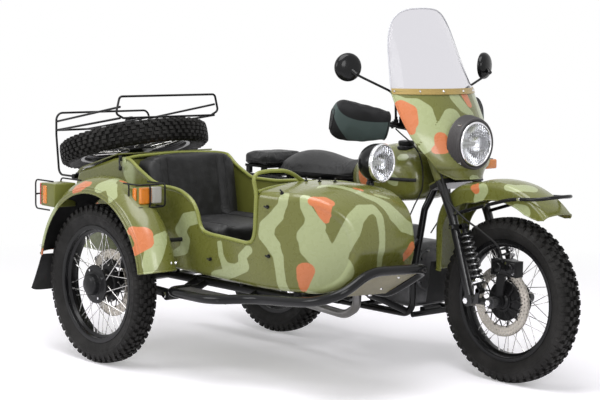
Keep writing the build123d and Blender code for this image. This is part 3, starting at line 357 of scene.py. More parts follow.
def rubber(name, shade, roughness):
    """Black rubber with a faint brown bloom, fine grain and dusty low spots."""
    mat, shader = new_material(name, shade, roughness, Specular_IOR_Level=0.16)
    dust = spread(mat, noise(mat, 9.0, 5.0), 0.45, 0.75)
    wire(mixed(mat, dust, shade, [c * 1.9 + 0.004 for c in shade]), shader, "Base Color")
    uneven_gloss(mat, shader, 30.0, 4.0, roughness - 0.08, roughness + 0.12)
    bumped(mat, shader, noise(mat, 900.0, 3.0), 0.0004)
    return mat


tyre_rubber = rubber("tyre rubber", (0.01, 0.0095, 0.009), 0.6)
for name, (place, turn, body) in PLACES.items():
    piece(f"{name}_tyre_treaded", moved(tyre_shape(), place, turn), tyre_rubber, body,
        [f"{name}_tyre"], crease=35)


# ---- rims, spokes, hubs and brake discs
# Steel rims in black enamel, laced to cast hubs by forty bright spokes with nipples at the rim, each
# with a head at the hub's flange. Three of the four carry a drilled steel brake disc.
SPOKES = 40
RIM_BED_R, RIM_EDGE_R, HUB_FLANGE_R = 0.223, 0.2555, 0.084
DISC_IN, DISC_OUT = 0.0475, 0.0525


def rim_shape():
    """A rolled channel section turned about the axle."""
    half = RIM_HALF + 0.004
    one = [(0.012, 0.229), (0.016, BEAD_R - 0.002), (half - 0.0045, BEAD_R + 0.001),
        (half - 0.004, RIM_EDGE_R), (half, RIM_EDGE_R), (half - 0.0005, 0.238), (0.019, 0.2355),
        (0.014, RIM_BED_R)]
    other = [(-y, r) for y, r in one[::-1]]
    return lathe(eased(other[3:] + one + other[:4], 4, 0.0035), 128)


def hub_shape(capped):
    """A waisted barrel between two flanges, with a stepped end on each side."""
    one = [(-0.06, 0.0086), (-0.06, 0.026), (-0.056, 0.03), (-0.045, 0.04), (-0.04, 0.06),
        (-0.04, HUB_FLANGE_R), (-0.03, HUB_FLANGE_R), (-0.028, 0.062), (-0.02, 0.054)]
    parts = [lathe(eased(one + [(-y, r) for y, r in one[::-1]], 3, 0.003), 64)]
    if capped:
        cap = [(-0.036, 0.052), (-0.044, 0.052), (-0.046, 0.05), (-0.046, 0.0465), (-0.064, 0.0455),
            (-0.071, 0.043), (-0.078, 0.034), (-0.082, 0.02), (-0.0839, 0.001)]
        parts.append(lathe(eased(cap, 4, 0.003), 64))
    return together(parts)


def spoke_ends():
    """Head at the flange and nipple seat at the rim for every spoke: alternate sides and leans."""
    i = np.arange(SPOKES)
    side = np.where(i % 2, 1, -1)
    lean = np.radians(np.where((i // 2) % 2, 24.0, -24.0))
    at_hub = 2 * np.pi * i / SPOKES
    at_rim = at_hub + lean
    hub = on_circle(at_hub, 0.08, side * (0.031 + 0.004 * np.sign(lean)))
    return hub, on_circle(at_rim, RIM_BED_R, side * 0.008)


def unit(vectors):
    """Each row scaled to a length of one."""
    return vectors / np.linalg.norm(vectors, axis=-1, keepdims=True)


def bars(starts, ends, radius, sides=8, end_radius=None):
    """Round bars between matching rows of start and end points, closed by flat ends."""
    starts, ends = np.atleast_2d(starts), np.atleast_2d(ends)
    along = unit(ends - starts)
    ref = np.where(np.abs(along[:, 2:3]) > 0.9, [[1.0, 0, 0]], [[0, 0, 1.0]])
    across = unit(np.cross(along, ref))
    up = np.cross(across, along)
    angle = round_turn(sides)
    ring = across[:, None] * np.cos(angle)[None, :, None] + up[:, None] * np.sin(angle)[None, :, None]
    r1 = radius if end_radius is None else end_radius
    tiny = 0.001
    corners = np.stack([starts[:, None] + ring * radius * tiny, starts[:, None] + ring * radius,
        ends[:, None] + ring * r1, ends[:, None] + ring * r1 * tiny], 1)
    base = (np.arange(len(starts)) * 4 * sides)[:, None, None]
    k = np.arange(sides)
    k2 = (k + 1) % sides
    strips = [np.stack([row * sides + k, row * sides + k2, (row + 1) * sides + k2, (row + 1) * sides + k],
        1) for row in range(3)]
    faces = (np.concatenate(strips)[None] + base).reshape(-1, 4)
    return corners.reshape(-1, 3), faces


def spoke_shapes():
    """Thin bars from head to nipple, the nipples as short thicker bars at the rim."""
    hub, rim = spoke_ends()
    out = unit(rim - hub)
    heads = bars(hub + [0, 0.0045, 0], hub - [0, 0.0045, 0], 0.0034, 8)
    return together([bars(hub, rim, 0.0017, 8), bars(rim - out * 0.014, rim + out * 0.003, 0.0034, 6),
        heads])


def drilled_disc(side):
    """A flat ring of square cells, each with four-sided faces between its border and a round hole."""
    inner, outer, rows, cols, corner, hole = 0.104, 0.1475, 3, 48, 16, 0.0032
    edges = np.linspace(inner, outer, rows + 1)
    t = round_turn(corner) + np.pi / 4
    circle = np.stack([np.cos(t), np.sin(t)], 1)
    square = circle / np.abs(circle).max(1, keepdims=True)
    k = np.arange(corner)
    k2 = (k + 1) % corner
    one = np.stack([k, k2, corner + k2, corner + k], 1)
    faces = (one[None] + (np.arange(cols) * 2 * corner)[:, None, None]).reshape(-1, 4)
    parts = []
    for row in range(rows):
        mid, half = (edges[row] + edges[row + 1]) / 2, (edges[row + 1] - edges[row]) / 2
        arc = round_turn(cols, 0.5 * (row % 2))
        a = arc[:, None] + np.concatenate([square[:, 0] * np.pi / cols, circle[:, 0] * hole / mid])
        r = mid + np.concatenate([square[:, 1] * half, circle[:, 1] * hole])
        for face_y in (DISC_IN, DISC_OUT):
            pts = on_circle(a, r, side * face_y).reshape(-1, 3)
            parts.append((pts, faces if (face_y == DISC_OUT) == (side < 0) else faces[:, ::-1]))
    for r, inward in ((outer, False), (inner, True)):
        wall = lathe([(side * DISC_IN, r), (side * DISC_OUT, r)], cols * 2)
        parts.append(flipped(wall) if inward == (side > 0) else wall)
    return together(parts)


def disc_carrier(side):
    """Ten bent arms from the hub's end, forked to the drilled ring and bolted to it."""
    i = round_turn(10)
    y = side * 0.05
    root, knee = on_circle(i, 0.04, y), on_circle(i + 0.16, 0.078, y)
    tip, other = on_circle(i - 0.02, 0.107, y), on_circle(i + 0.34, 0.107, y)
    ring = lathe(eased([(y - 0.003, 0.036), (y - 0.003, 0.046), (y + 0.003, 0.046), (y + 0.003, 0.036)], 3,
        0.001), 48)
    bolts = bars(tip - [0, 0.003, 0], tip + [0, 0.003, 0], 0.0045, 8)
    return together([bars(root, knee, 0.0032, 6), bars(knee, tip, 0.0026, 6), bars(knee, other, 0.0026, 6),
        ring, bolts])


def enamel(name, shade, roughness, coat=0.3, sheen=0.28):
    """Stoved enamel: a faint cloudiness of shade, fine orange peel and a thin clear coat."""
    mat, shader = new_material(name, shade, roughness, Coat_Weight=coat, Coat_Roughness=0.12,
        Specular_IOR_Level=sheen)
    cloud = spread(mat, noise(mat, 7.0, 4.0), 0.35, 0.7)
    lighter = [c * 1.24 + 0.0018 for c in shade]
    wire(mixed(mat, cloud, shade, lighter), shader, "Base Color")
    uneven_gloss(mat, shader, 55.0, 3.0, roughness - 0.03, roughness + 0.04)
    bumped(mat, shader, noise(mat, 700.0, 2.0), 0.00005)
    return mat


def bright_metal(name, shade, roughness, grain=320.0):
    """Plated or polished metal with fine rubbing marks in its gloss."""
    mat, shader = new_material(name, shade, roughness, 1.0)
    uneven_gloss(mat, shader, grain, 4.0, max(0.02, roughness - 0.06), roughness + 0.12)
    worn = spread(mat, noise(mat, 24.0, 5.0), 0.4, 0.7)
    wire(mixed(mat, worn, shade, [c * 0.82 for c in shade]), shader, "Base Color")
    return mat


def cast_metal(name, shade, roughness):
    """Sand-cast alloy: grainy bump and blotches."""
    mat, shader = new_material(name, shade, roughness, 0.85)
    blotch = spread(mat, noise(mat, 18.0, 5.0, 0.65), 0.35, 0.7)
    wire(mixed(mat, blotch, shade, [c * 0.6 for c in shade]), shader, "Base Color")
    bumped(mat, shader, noise(mat, 420.0, 4.0), 0.0005)
    return mat


black_enamel = enamel("black enamel", (0.005, 0.005, 0.0055), 0.2, 0.2, sheen=0.12)
satin_black = enamel("satin black", (0.008, 0.008, 0.0085), 0.36, 0.05, sheen=0.15)
stainless = bright_metal("stainless wire", (0.62, 0.61, 0.6), 0.22)
disc_steel = bright_metal("ground disc steel", (0.58, 0.54, 0.48), 0.3, 150.0)
chrome = bright_metal("chrome plate", (0.8, 0.8, 0.82), 0.07)
WHEELS = {"front": (-1, False), "rear": (1, False), "sidecar": (1, True), "spare": (0, False)}
for name, (disc_side, capped) in WHEELS.items():
    place, turn, body = PLACES[name]
    parts = [("rim", rim_shape(), black_enamel, 40), ("hub", hub_shape(capped), satin_black, 35),
        ("spokes", spoke_shapes(), stainless, 40)]
    if capped:
        seat = on_circle(round_turn(4) + 0.5, 0.066, -0.04)
        parts.append(("hub_bolts", bars(seat, seat - [0, 0.006, 0], 0.0055, 6), chrome, 30))
    if disc_side:
        parts += [("disc", drilled_disc(disc_side), disc_steel, 30), ("disc_carrier",
            disc_carrier(disc_side), satin_black, 30)]
    for label, part, material, crease in parts:
        piece(f"{name}_{label}", moved(part, place, turn), material, body,
            [f"{name}_wheel"] if label == "rim" else (), crease=crease)


# ---- fork, links and front springs
# A steel fork with leading links, its upper tubes in olive shrouds, the legs and brackets black. Two
# coil springs over dampers carry the links, each with a bright adjuster, and bolts hold every eye.
def fitted(name, part, material, stands_for=(), body="outfit", crease=30):
    """A piece drawn from the rear axle's middle on the ground, moved to the outfit's own frame. A list of
    parts makes one piece."""
    part = together(part) if isinstance(part, list) else part
    return piece(name, moved(part, REAR), material, body, stands_for, crease=crease)


def across_frame(run, ref):
    """Two directions square to each row of a path's run, turned from one fixed direction."""
    side = unit(np.cross(run, ref))
    return side, np.cross(side, run)


def steady_direction(run):
    """Of thirteen directions, the one that stays furthest from the path's own."""
    tries = unit(np.array([(1, 0, 0), (0, 1, 0), (0, 0, 1), (1, 1, 0), (1, -1, 0), (1, 0, 1), (1, 0, -1),
        (0, 1, 1), (0, 1, -1), (1, 1, 1), (1, 1, -1), (1, -1, 1), (-1, 1, 1)], float))
    return tries[np.linalg.norm(np.cross(run[:, None], tries[None]), axis=2).min(0).argmax()]


def tube(path, radius, sides=14, ref=None, loop=False):
    """Rings along a path, each its centre + r (side cos a + up sin a), with closed ends."""
    path = np.asarray(path, float)
    run = np.roll(path, -1, 0) - np.roll(path, 1, 0) if loop else np.gradient(path, axis=0)
    run = unit(run)
    side, up = across_frame(run, steady_direction(run) if ref is None else np.asarray(ref, float))
    a = (round_turn(sides))[None, :, None]
    reach = np.broadcast_to(radius, len(path))[:, None, None]
    rings = path[:, None] + reach * (side[:, None] * np.cos(a) + up[:, None] * np.sin(a))
    if not loop:
        tips = [path[i][None, None] + (rings[i] - path[i])[None] * 1e-4 for i in (0, -1)]
        rings = np.concatenate([tips[0], rings, tips[1]])
    return grid(rings, wrap_u=loop, wrap_v=True)


def bent_tube(corners, radius, bend, sides=14, per_arc=7):
    """A tube on straight runs joined by curves of a given reach."""
    return tube(eased(corners, per_arc, bend), radius, sides)


def turned(start, end, rows, steps=40):
    """A lathed form about the line from start to end; rows are (distance from start, radius)."""
    start, end = np.asarray(start, float), np.asarray(end, float)
    axis = unit(end - start)
    side = across_frame(axis[None], steady_direction(axis[None]))[0]
    return moved(lathe(rows, steps), start, np.stack([side[0], axis, np.cross(side[0], axis)], 1))


def coil(start, end, radius, wire_r, turns):
    """A helix about the line from start to end: its angle and its travel grow together."""
    start, end = np.asarray(start, float), np.asarray(end, float)
    axis = unit(end - start)
    side, up = across_frame(axis[None], steady_direction(axis[None]))
    a = np.linspace(0, turns * 2 * np.pi, turns * 18 + 1)[:, None]
    share = a / a[-1]
    return tube(start + (end - start) * share + radius * (side * np.cos(a) + up * np.sin(a)), wire_r, 7,
        ref=axis)


def spring_unit(low, high, y, radius, wire_r, turns):
    """Coil, damper and fittings of a spring unit between two (x, z) pins: three separate parts."""
    a, b = np.array([low[0], y, low[1]]), np.array([high[0], y, high[1]])
    along = unit(b - a)
    length = np.linalg.norm(b - a)
    eyes = [turned(p + [0, -0.0125, 0], p + [0, 0.0125, 0], [(0, 0.001), (0, 0.013), (0.002, 0.014),
        (0.023, 0.014), (0.025, 0.013), (0.025, 0.001)], 24) for p in (a, b)]
    body = [(0.012, 0.001), (0.012, 0.012), (0.026, 0.012), (0.027, radius), (0.031, radius),
        (0.032, 0.016), (length * 0.5, 0.016), (length * 0.5 + 0.001, 0.007), (length - 0.034, 0.007),
        (length - 0.033, radius), (length - 0.028, radius), (length - 0.027, 0.012),
        (length - 0.012, 0.012), (length - 0.012, 0.001)]
    ring = [(0.032, 0.017), (0.032, radius + 0.002), (0.036, radius + 0.003), (0.044, radius + 0.003),
        (0.048, radius + 0.001), (0.048, 0.017)]
    heads = [bars([p + [0, s * 0.0125, 0]], [p + [0, s * 0.021, 0]], 0.0105, 6) for p in (a, b)
        for s in (-1, 1)]
    spring = coil(a + along * 0.046, b - along * 0.034, radius - 0.004, wire_r, turns)
    return spring, together(eyes + [turned(a, b, body, 32)]), together(heads + [turned(a, b, ring, 36)])


def refinish(material, *names):
    """Gives CAD nodes that keep their own shape a richer finish."""
    for name in names:
        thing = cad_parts[name]
        thing.data.materials.clear()
        thing.data.materials.append(material)


def level_along(mat, direction):
    """How far the surface point lies along a direction."""
    return node(mat, "VectorMath", [(0, object_place(mat)), (1, direction)],
        operation="DOT_PRODUCT").outputs["Value"]


def paint_by_height(mat, shader, low_shade, high_shade, height, direction=(0.0, 0.0, 1.0)):
    """Two shades that meet at a level along a direction."""
    level = level_along(mat, direction)
    wire(mixed(mat, spread(mat, level, height - 0.0008, height + 0.0008), low_shade, high_shade), shader,
        "Base Color")


OLIVE, SAGE, ORANGE = (0.116, 0.122, 0.025), (0.3, 0.335, 0.17), (0.48, 0.15, 0.055)
fork_paint = enamel("fork enamel", OLIVE, 0.3, 0.4)
rake_up = np.array([-0.454, 0, 0.891])
shroud_end = float((REAR + np.array([1.144, 0, 0.778]) + rake_up * 0.034) @ rake_up)
paint_by_height(fork_paint, fork_paint.node_tree.nodes["Principled BSDF"], (0.012, 0.012, 0.013), OLIVE,
    shroud_end, tuple(rake_up))
refinish(fork_paint, "fork")
coils, dampers, bright = [], [], []
for side in (-1, 1):
    one = spring_unit((1.41, 0.388), (1.308, 0.645), side * 0.112, 0.028, 0.0046, 8)
    for group, part in zip((coils, dampers, bright), one):
        group.append(part)
    for x, z in ((1.35, 0.34), (1.475, 0.346)):
        bright.append(bars([x, side * 0.127, z], [x, side * 0.141, z], 0.013, 6))
    bright.append(bars([1.256, side * 0.133, 0.64], [1.256, side * 0.139, 0.64], 0.008, 6))
spring_steel = bright_metal("spring steel", (0.22, 0.22, 0.225), 0.25)
fitted("front_spring_coils", coils, spring_steel, stands_for=["front_shocks"], body="steering")
fitted("front_dampers", dampers, satin_black, body="steering")
fitted("front_adjusters_and_bolts", bright, chrome, body="steering")


# ---- front mudguard
# A deep pressed-steel guard with rounded shoulders and a wired edge, a black rubber flap behind the
# wheel, and a tube rail bolted along its sides. It is sprayed in patches of sage and orange on olive.
def sheet(points, thick):
    """A plate: a grid of points, the same grid set in along its normals, and strips round its edges."""
    du, dv = np.gradient(points, axis=0), np.gradient(points, axis=1)
    out = np.cross(du, dv)
    out /= np.maximum(np.linalg.norm(out, axis=2, keepdims=True), 1e-9)
    back = points - out * thick
    return together([grid(points), flipped(grid(back)), grid(np.stack([back[0], points[0]])),
        flipped(grid(np.stack([back[-1], points[-1]]))), grid(np.stack([points[:, 0], back[:, 0]])),
        flipped(grid(np.stack([points[:, -1], back[:, -1]])))])


def edge_line(points):
    """The closed line round the edge of a grid of points."""
    return np.concatenate([points[:, 0], points[-1, 1:-1], points[::-1, -1], points[0, -2:0:-1]])


def wired_sheet(points, thick, wire_r):
    """A plate rolled over a wire all round its edge."""
    return [sheet(points[::-1], thick), tube(edge_line(points), wire_r, 8, loop=True)]


def arc_points(middle, radius, start, end, count):
    """(x, z) points on an arc, and the outward normals there."""
    a = np.radians(np.linspace(start, end, count))[:, None]
    out = np.concatenate([np.cos(a), np.sin(a)], 1)
    return np.array(middle) + radius * out, out


def guard_section(half, deep, bend, crown, count=9):
    """Across a channel, as (y, depth below the crown): one skirt, both shoulders and the other skirt."""
    a = np.linspace(0, np.pi / 2, count)
    shoulder = np.stack([half - bend + bend * np.cos(a), crown + bend - bend * np.sin(a)], 1)
    top_y = np.linspace(half - bend, 0, 8)[1:]
    top = np.stack([top_y, crown * (top_y / (half - bend)) ** 2], 1)
    skirt = np.stack([np.full(6, half), np.linspace(deep, crown + bend, 7)[:-1]], 1)
    one = np.concatenate([skirt, shoulder, top])
    return np.concatenate([one, (one * [-1, 1])[-2::-1]])


def front_guard_shape():
    """The channel's section along two arcs and a short straight, its skirts shallower at both ends."""
    front, front_out = arc_points((1.445, 0.441), 0.408, 45, 108, 46)
    rear, rear_out = arc_points((1.33, 0.605), 0.23, 110, 176, 26)
    drop = np.linspace(rear[-1], (1.104, 0.44), 9)[1:]
    drop_out = np.repeat([[-0.99, 0.05]], len(drop), 0)
    line, out = np.concatenate([front, rear, drop]), np.concatenate([front_out, rear_out, drop_out])
    run = np.concatenate([[0], np.cumsum(np.linalg.norm(np.diff(line, axis=0), axis=1))])
    deep = np.interp(run, [0, 0.02, 0.05, 0.1, 0.55, 0.75, run[-1]], [0.03, 0.052, 0.066, 0.08, 0.085,
        0.055, 0.048])
    section = guard_section(0.085, 1.0, 0.026, 0.007)
    share = np.where(section[:, 1] > 0.034, (section[:, 1] - 0.033) / 0.967, 0)
    base = np.minimum(section[:, 1], 0.033)
    depth = base[None] + share[None] * (deep[:, None] - 0.033)
    xz = line[:, None] - out[:, None] * depth[..., None]
    return points_of(xz[..., 0], section[:, 0], xz[..., 1])


def read(items, what):
    """One vector for each item of a mesh, as rows."""
    values = np.empty(len(items) * 3)
    items.foreach_get(what, values)
    return values.reshape(-1, 3)


def corners_of(thing):
    """An object's corners as rows of points."""
    return read(thing.data.vertices, "co")


# A distance beyond any band, how far noise moves a patch's edge, and where that edge starts and ends.
FAR, WANDER, EDGE = 9.0, 0.12, (1.08, 1.045)


def dappled(thing, sage, orange):
    """Writes at each corner how far it lies from the nearest band, counted in band reaches. A band is a
    chain of rods between (x, y, z, width, height) rows in millimetres, its reach running from one row's
    to the next's."""
    corners = corners_of(thing) - REAR
    for label, bands in (("sage", sage), ("orange", orange)):
        nearest = np.full(len(corners), FAR)
        for rows in bands:
            rows = np.array(rows) / 1000
            for a, b in zip(rows[:-1], rows[1:]):
                run = b[:3] - a[:3]
                share = np.clip((corners - a[:3]) @ run / max(run @ run, 1e-9), 0, 1)[:, None]
                reach = a[3:] + (b[3:] - a[3:]) * share
                away = (corners - a[:3] - run * share) / reach[:, [0, 0, 1]]
                nearest = np.minimum(nearest, np.linalg.norm(away, axis=1))
        thing.data.attributes.new(label, "FLOAT", "POINT").data.foreach_set("value", nearest)


def camouflage(name, wild, banded=True):
    """Olive enamel with sprayed patches. A patch colour lies where the piece's band distance is under one.
    Where a wild direction passes its start, slow noise lays the patches instead."""
    mat, shader = new_material(name, OLIVE, 0.27, Coat_Weight=0.3, Coat_Roughness=0.08,
        Specular_IOR_Level=0.36)
    place = object_place(mat)
    drift = noise(mat, 22.0, 2.0, 0.5, place)
    region = None
    for direction, start in wild:
        share = spread(mat, level_along(mat, direction), start, start + 0.03)
        region = share if region is None else reckoned(mat, "MAXIMUM", region, share)
    colour = OLIVE
    for label, shade, slow, level in (("sage", SAGE, 3.1, 0.545), ("orange", ORANGE, 3.7, 0.635)):
        share = None
        if banded:
            near = node(mat, "Attribute", [], attribute_name=label).outputs["Fac"]
            uneven = reckoned(mat, "MULTIPLY_ADD", drift, WANDER, near)
            share = spread(mat, uneven, *EDGE)
        if region is not None:
            shifted = node(mat, "VectorMath", [(0, place), (1, (slow, 0, slow))],
                operation="ADD").outputs[0]
            cloud = spread(mat, noise(mat, slow, 0.6, 0.4, shifted), level, level + 0.006)
            far_side = reckoned(mat, "MULTIPLY", cloud, region)
            share = far_side if share is None else node(mat, "Mix", [(0, region), (2, share),
                (3, cloud)]).outputs[0]
        colour = mixed(mat, share, colour, shade)
    age = spread(mat, noise(mat, 5.0, 5.0), 0.35, 0.75, 0.0, 0.06)
    wire(mixed(mat, age, colour, (0.09, 0.085, 0.05)), shader, "Base Color")
    uneven_gloss(mat, shader, 40.0, 3.0, 0.22, 0.36)
    bumped(mat, shader, noise(mat, 650.0, 2.0), 0.0001)
    return mat


LEFT, BACK = (0.0, 1.0, 0.0), (-1.0, 0.0, 0.0)
FRONT_SAGE = [[(1379, -85, 803, 35, 29), (1358, -85, 759, 25, 21)],
    [(1521, -85, 831, 25, 21), (1557, -77, 833, 30, 25), (1585, -22, 824, 35, 29)],
    [(1573, -85, 738, 29, 25), (1611, -85, 732, 34, 29)]]
FRONT_ORANGE = [[(1334, -85, 816, 25, 21), (1346, -85, 800, 20, 17)]]
front_paint = camouflage("front guard paint", [(LEFT, REAR[1] + 0.08)])
guard_points = front_guard_shape()
edge_wire = edge_line(guard_points) * [1, 0.985, 1]
front_guard = fitted("front_mudguard_pressing", [sheet(guard_points, 0.003),
    tube(edge_wire, 0.0036, 8, loop=True)], front_paint, ["front_mudguard"],
    body="steering", crease=45)
dappled(front_guard, FRONT_SAGE, FRONT_ORANGE)
flap_rows = np.array([(1.101, 0.47), (1.094, 0.4), (1.084, 0.33), (1.078, 0.29)])
flap_line = eased(flap_rows, 4, 0.03)
flap_y = np.linspace(-0.083, 0.083, 15)
flap = points_of(flap_line[:, None, 0] - 0.006 * (flap_y / 0.083) ** 2, flap_y, flap_line[:, None, 1])
flap_rubber = rubber("flap rubber", (0.014, 0.014, 0.014), 0.55)
fitted("front_guard_flap", sheet(flap, 0.004), flap_rubber, body="steering")
half_rail = np.array([(1.254, -0.11, 0.694), (1.42, -0.101, 0.744), (1.56, -0.101, 0.782),
    (1.68, -0.098, 0.788), (1.742, -0.06, 0.8)])
rail_line = np.concatenate([half_rail, half_rail[::-1] * [1, -1, 1]])
fitted("mudguard_rail_tube", bent_tube(rail_line, 0.0075, 0.055, 16, 9), black_enamel,
    stands_for=["mudguard_rail"], body="steering", crease=60)
rail_bolts = [bars([x, s * y, z], [x, s * (y + 0.008), z], 0.007, 6) for s in (-1, 1) for x, y,
    z in ((1.6, 0.106, 0.784), (1.264, 0.114, 0.698), (1.42, 0.106, 0.744))]
fitted("mudguard_rail_bolts", rail_bolts, chrome, body="steering")


# ---- fairing and windscreen
# A bowed fairing of moulded sheet on the fork, with a folded edge, and a clear acrylic screen whose
# foot is held to it by a bronze-coloured strip and rivets.
def smooth_rows(rows, count):
    """A table run through by a cubic: each interval is a Hermite curve with its neighbours' slopes."""
    rows = np.asarray(rows, float)
    slope = np.gradient(rows, axis=0)
    t = np.linspace(0, len(rows) - 1, count)
    i = np.minimum(t.astype(int), len(rows) - 2)
    s = (t - i)[:, None]
    return ((2 * s ** 3 - 3 * s ** 2 + 1) * rows[i] + (s ** 3 - 2 * s ** 2 + s) * slope[i]
        + (3 * s ** 2 - 2 * s ** 3) * rows[i + 1] + (s ** 3 - s ** 2) * slope[i + 1])


def bowed(rows, count, across):
    """A surface of level arcs. Columns: height, front x, half width, radius of the arc."""
    table = smooth_rows(rows, count)
    share = np.linspace(-1, 1, across)
    z, front, half, radius = table.T[..., None]
    angle = np.arcsin(np.clip(half / radius, 0, 0.999)) * share[None]
    return points_of(front - radius + radius * np.cos(angle), radius * np.sin(angle), z)


FAIRING = [(0.836, 1.262, 0.085, 0.11), (0.868, 1.258, 0.14, 0.168), (0.9, 1.254, 0.172, 0.2414),
    (1.0, 1.22, 0.228, 0.3039), (1.1, 1.175, 0.248, 0.318), (1.2, 1.125, 0.25, 0.3125)]
SCREEN = [(1.2, 1.125, 0.25, 0.3125), (1.322, 1.064, 0.222, 0.2806), (1.4, 1.023, 0.205, 0.272),
    (1.458, 0.992, 0.186, 0.268), (1.5, 0.968, 0.162, 0.262), (1.53, 0.95, 0.126, 0.255),
    (1.546, 0.94, 0.08, 0.25), (1.551, 0.937, 0.02, 0.25)]
FAIRING_SAGE = [[(1017, -247, 1167, 25, 21), (1052, -224, 1152, 25, 21), (1086, -193, 1140, 41, 34),
    (1114, -172, 1115, 46, 38), (1133, -167, 1083, 41, 34), (1135, -192, 1041, 40, 34),
    (1116, -225, 1012, 35, 29), (1095, -236, 1035, 20, 17)], [(1172, -56, 1094, 46, 38),
    (1180, -100, 1054, 41, 34), (1176, -143, 1021, 35, 30), (1166, -179, 988, 30, 25),
    (1153, -202, 963, 25, 21)], [(1137, -3, 1176, 31, 26), (1157, 27, 1134, 31, 26),
    (1165, 69, 1103, 21, 17)], [(1261, -12, 836, 20, 17), (1261, 11, 836, 15, 13)]]
FAIRING_ORANGE = [[(1045, -235, 1139, 30, 25), (1073, -221, 1115, 41, 34), (1087, -227, 1073, 40, 34),
    (1102, -229, 1036, 20, 17)], [(1185, -134, 1009, 30, 25), (1199, -135, 972, 35, 29),
    (1186, -163, 959, 20, 17)], [(1124, 66, 1187, 26, 22), (1142, 80, 1145, 21, 17)]]
fairing_paint = camouflage("fairing paint", [(LEFT, REAR[1] + 0.11)])
shell_points = bowed(FAIRING, 56, 81)
corners, faces = sheet(shell_points[::-1], 0.004)
middles = corners[faces].mean(1)
faces = faces[np.hypot(middles[:, 1], middles[:, 2] - 0.983) > 0.101]
shell = fitted("fairing_shell", [(corners, faces), tube(edge_line(shell_points), 0.004, 8, loop=True)],
    fairing_paint, ["fairing"], body="steering", crease=50)
dappled(shell, FAIRING_SAGE, FAIRING_ORANGE)
clear_sheet, clear_shader = new_material("clear acrylic", (0.74, 0.73, 0.77), 0.03, Transmission_Weight=1.0,
    IOR=1.16)
wire(spread(clear_sheet, noise(clear_sheet, 14.0, 4.0), 0.35, 0.8, 0.02, 0.09), clear_shader, "Roughness")
screen_points = bowed(SCREEN, 46, 49)
fitted("windscreen_sheet", sheet(screen_points[::-1], 0.004), clear_sheet, ["windscreen"],
    body="steering", crease=60)
trim_line = np.concatenate([screen_points[:, 0], screen_points[-1, 1:-1], screen_points[::-1, -1]])
frosted = enamel("screen edge", (0.4, 0.4, 0.43), 0.35, 0.3)
fitted("windscreen_edge", tube(trim_line, 0.0032, 8), frosted, body="steering")
strip = bowed([(1.188, 1.1365, 0.2515, 0.3128), (1.196, 1.1325, 0.2515, 0.3128),
    (1.204, 1.1285, 0.251, 0.3128), (1.212, 1.1245, 0.25, 0.3128)], 5, 49)
bronze = enamel("bronze strip", (0.27, 0.19, 0.06), 0.35, 0.3)
fitted("screen_strip", sheet(strip[::-1], 0.004), bronze, body="steering")
rivet_spots = strip[2, [1, 10, 19, 29, 38, 47]]
spot_out = unit(rivet_spots - [0.81, 0, rivet_spots[0, 2]])
fitted("strip_rivets", bars(rivet_spots, rivet_spots + spot_out * 0.0045, 0.0055, 10, 0.003), chrome,
    body="steering")


# ---- headlamp
# A steel bowl behind the fairing, a dark ribbed plastic sleeve with four screws in front, a chrome rim,
# a faceted bright reflector with its bulb and a clear glass.
def lamp_parts(back, front, radius, depth, facets):
    """Rim, reflector, bulb and glass of a lamp on the line from back to front, sized by its glass."""
    back, front = np.asarray(back, float), np.asarray(front, float)
    reach = np.linalg.norm(front - back)
    rim = turned(back, front, eased([(reach - 0.016, radius - 0.003), (reach - 0.016, radius + 0.007),
        (reach - 0.004, radius + 0.007), (reach + 0.001, radius + 0.002), (reach - 0.002, radius - 0.003),
        (reach - 0.016, radius - 0.003)], 4, 0.002), 72)
    s = np.linspace(0.06, 1, 9)
    bowl = turned(back, front, np.stack([reach - 0.014 - depth * (1 - s ** 2), s * (radius - 0.002)], 1),
        facets)
    bulb = turned(back, front, [(reach - 0.014 - depth, 0.0002), (reach - 0.014 - depth, 0.011),
        (reach - depth * 0.6, 0.011), (reach - depth * 0.5, 0.007), (reach - depth * 0.45, 0.0002)], 20)
    t = np.linspace(0, 1, 10)
    glass = turned(back, front, np.stack([reach - 0.007 + 0.006 * (1 - t[::-1] ** 2),
        t[::-1] * (radius - 0.0025)], 1), 72)
    inner = turned(back, front, np.stack([reach - 0.01 + 0.006 * (1 - t ** 2), t * (radius - 0.0025)], 1),
        72)
    return rim, bowl, bulb, together([glass, inner])


def fit_lamp(name, body, back, front, radius, depth, facets, bowl_crease):
    """The four pieces of a lamp, in their finishes."""
    parts = zip(("rim", "reflector", "bulb", "glass"), lamp_parts(back, front, radius, depth, facets),
        (chrome, reflector, bulb_glow, lamp_glass), ("lamp_shell", "lamp_shell", "lamp_lens", "lamp_lens"))
    for label, part, material, slot in parts:
        fitted(f"{name}_{label}", part, material, body=body, crease=bowl_crease
            if label == "reflector" else 35)


reflector = bright_metal("lamp reflector", (0.97, 0.97, 0.98), 0.16, 60.0)
lamp_glass, lamp_glass_shader = new_material("lamp glass", (0.97, 0.98, 1.0), 0.0, Transmission_Weight=1.0,
    IOR=1.25)
flute_wave = node(lamp_glass, "TexWave", [("Vector", object_place(lamp_glass)), ("Scale", 26.0),
    ("Distortion", 1.5)], bands_direction="Y")
bumped(lamp_glass, lamp_glass_shader, flute_wave.outputs["Fac"], 0.002, 0.8)
bulb_glow = enamel("bulb", (0.75, 0.75, 0.7), 0.2)
sleeve_plastic = enamel("grey sleeve", (0.04, 0.037, 0.038), 0.48, 0.05)
back, front = np.array([1.127, 0, 0.983]), np.array([1.267, 0, 0.983])
groove = np.linspace(0.084, 0.128, 13)
groove_r = np.where(np.arange(13) % 2, 0.1225, 0.119) - (groove - 0.084) * 0.22
sleeve = [(0.03, 0.1), (0.076, 0.101), (0.08, 0.1215), *np.stack([groove, groove_r], 1), (0.134, 0.109),
    (0.137, 0.104), (0.132, 0.0965), (0.11, 0.0965), (0.06, 0.0965), (0.03, 0.1)]
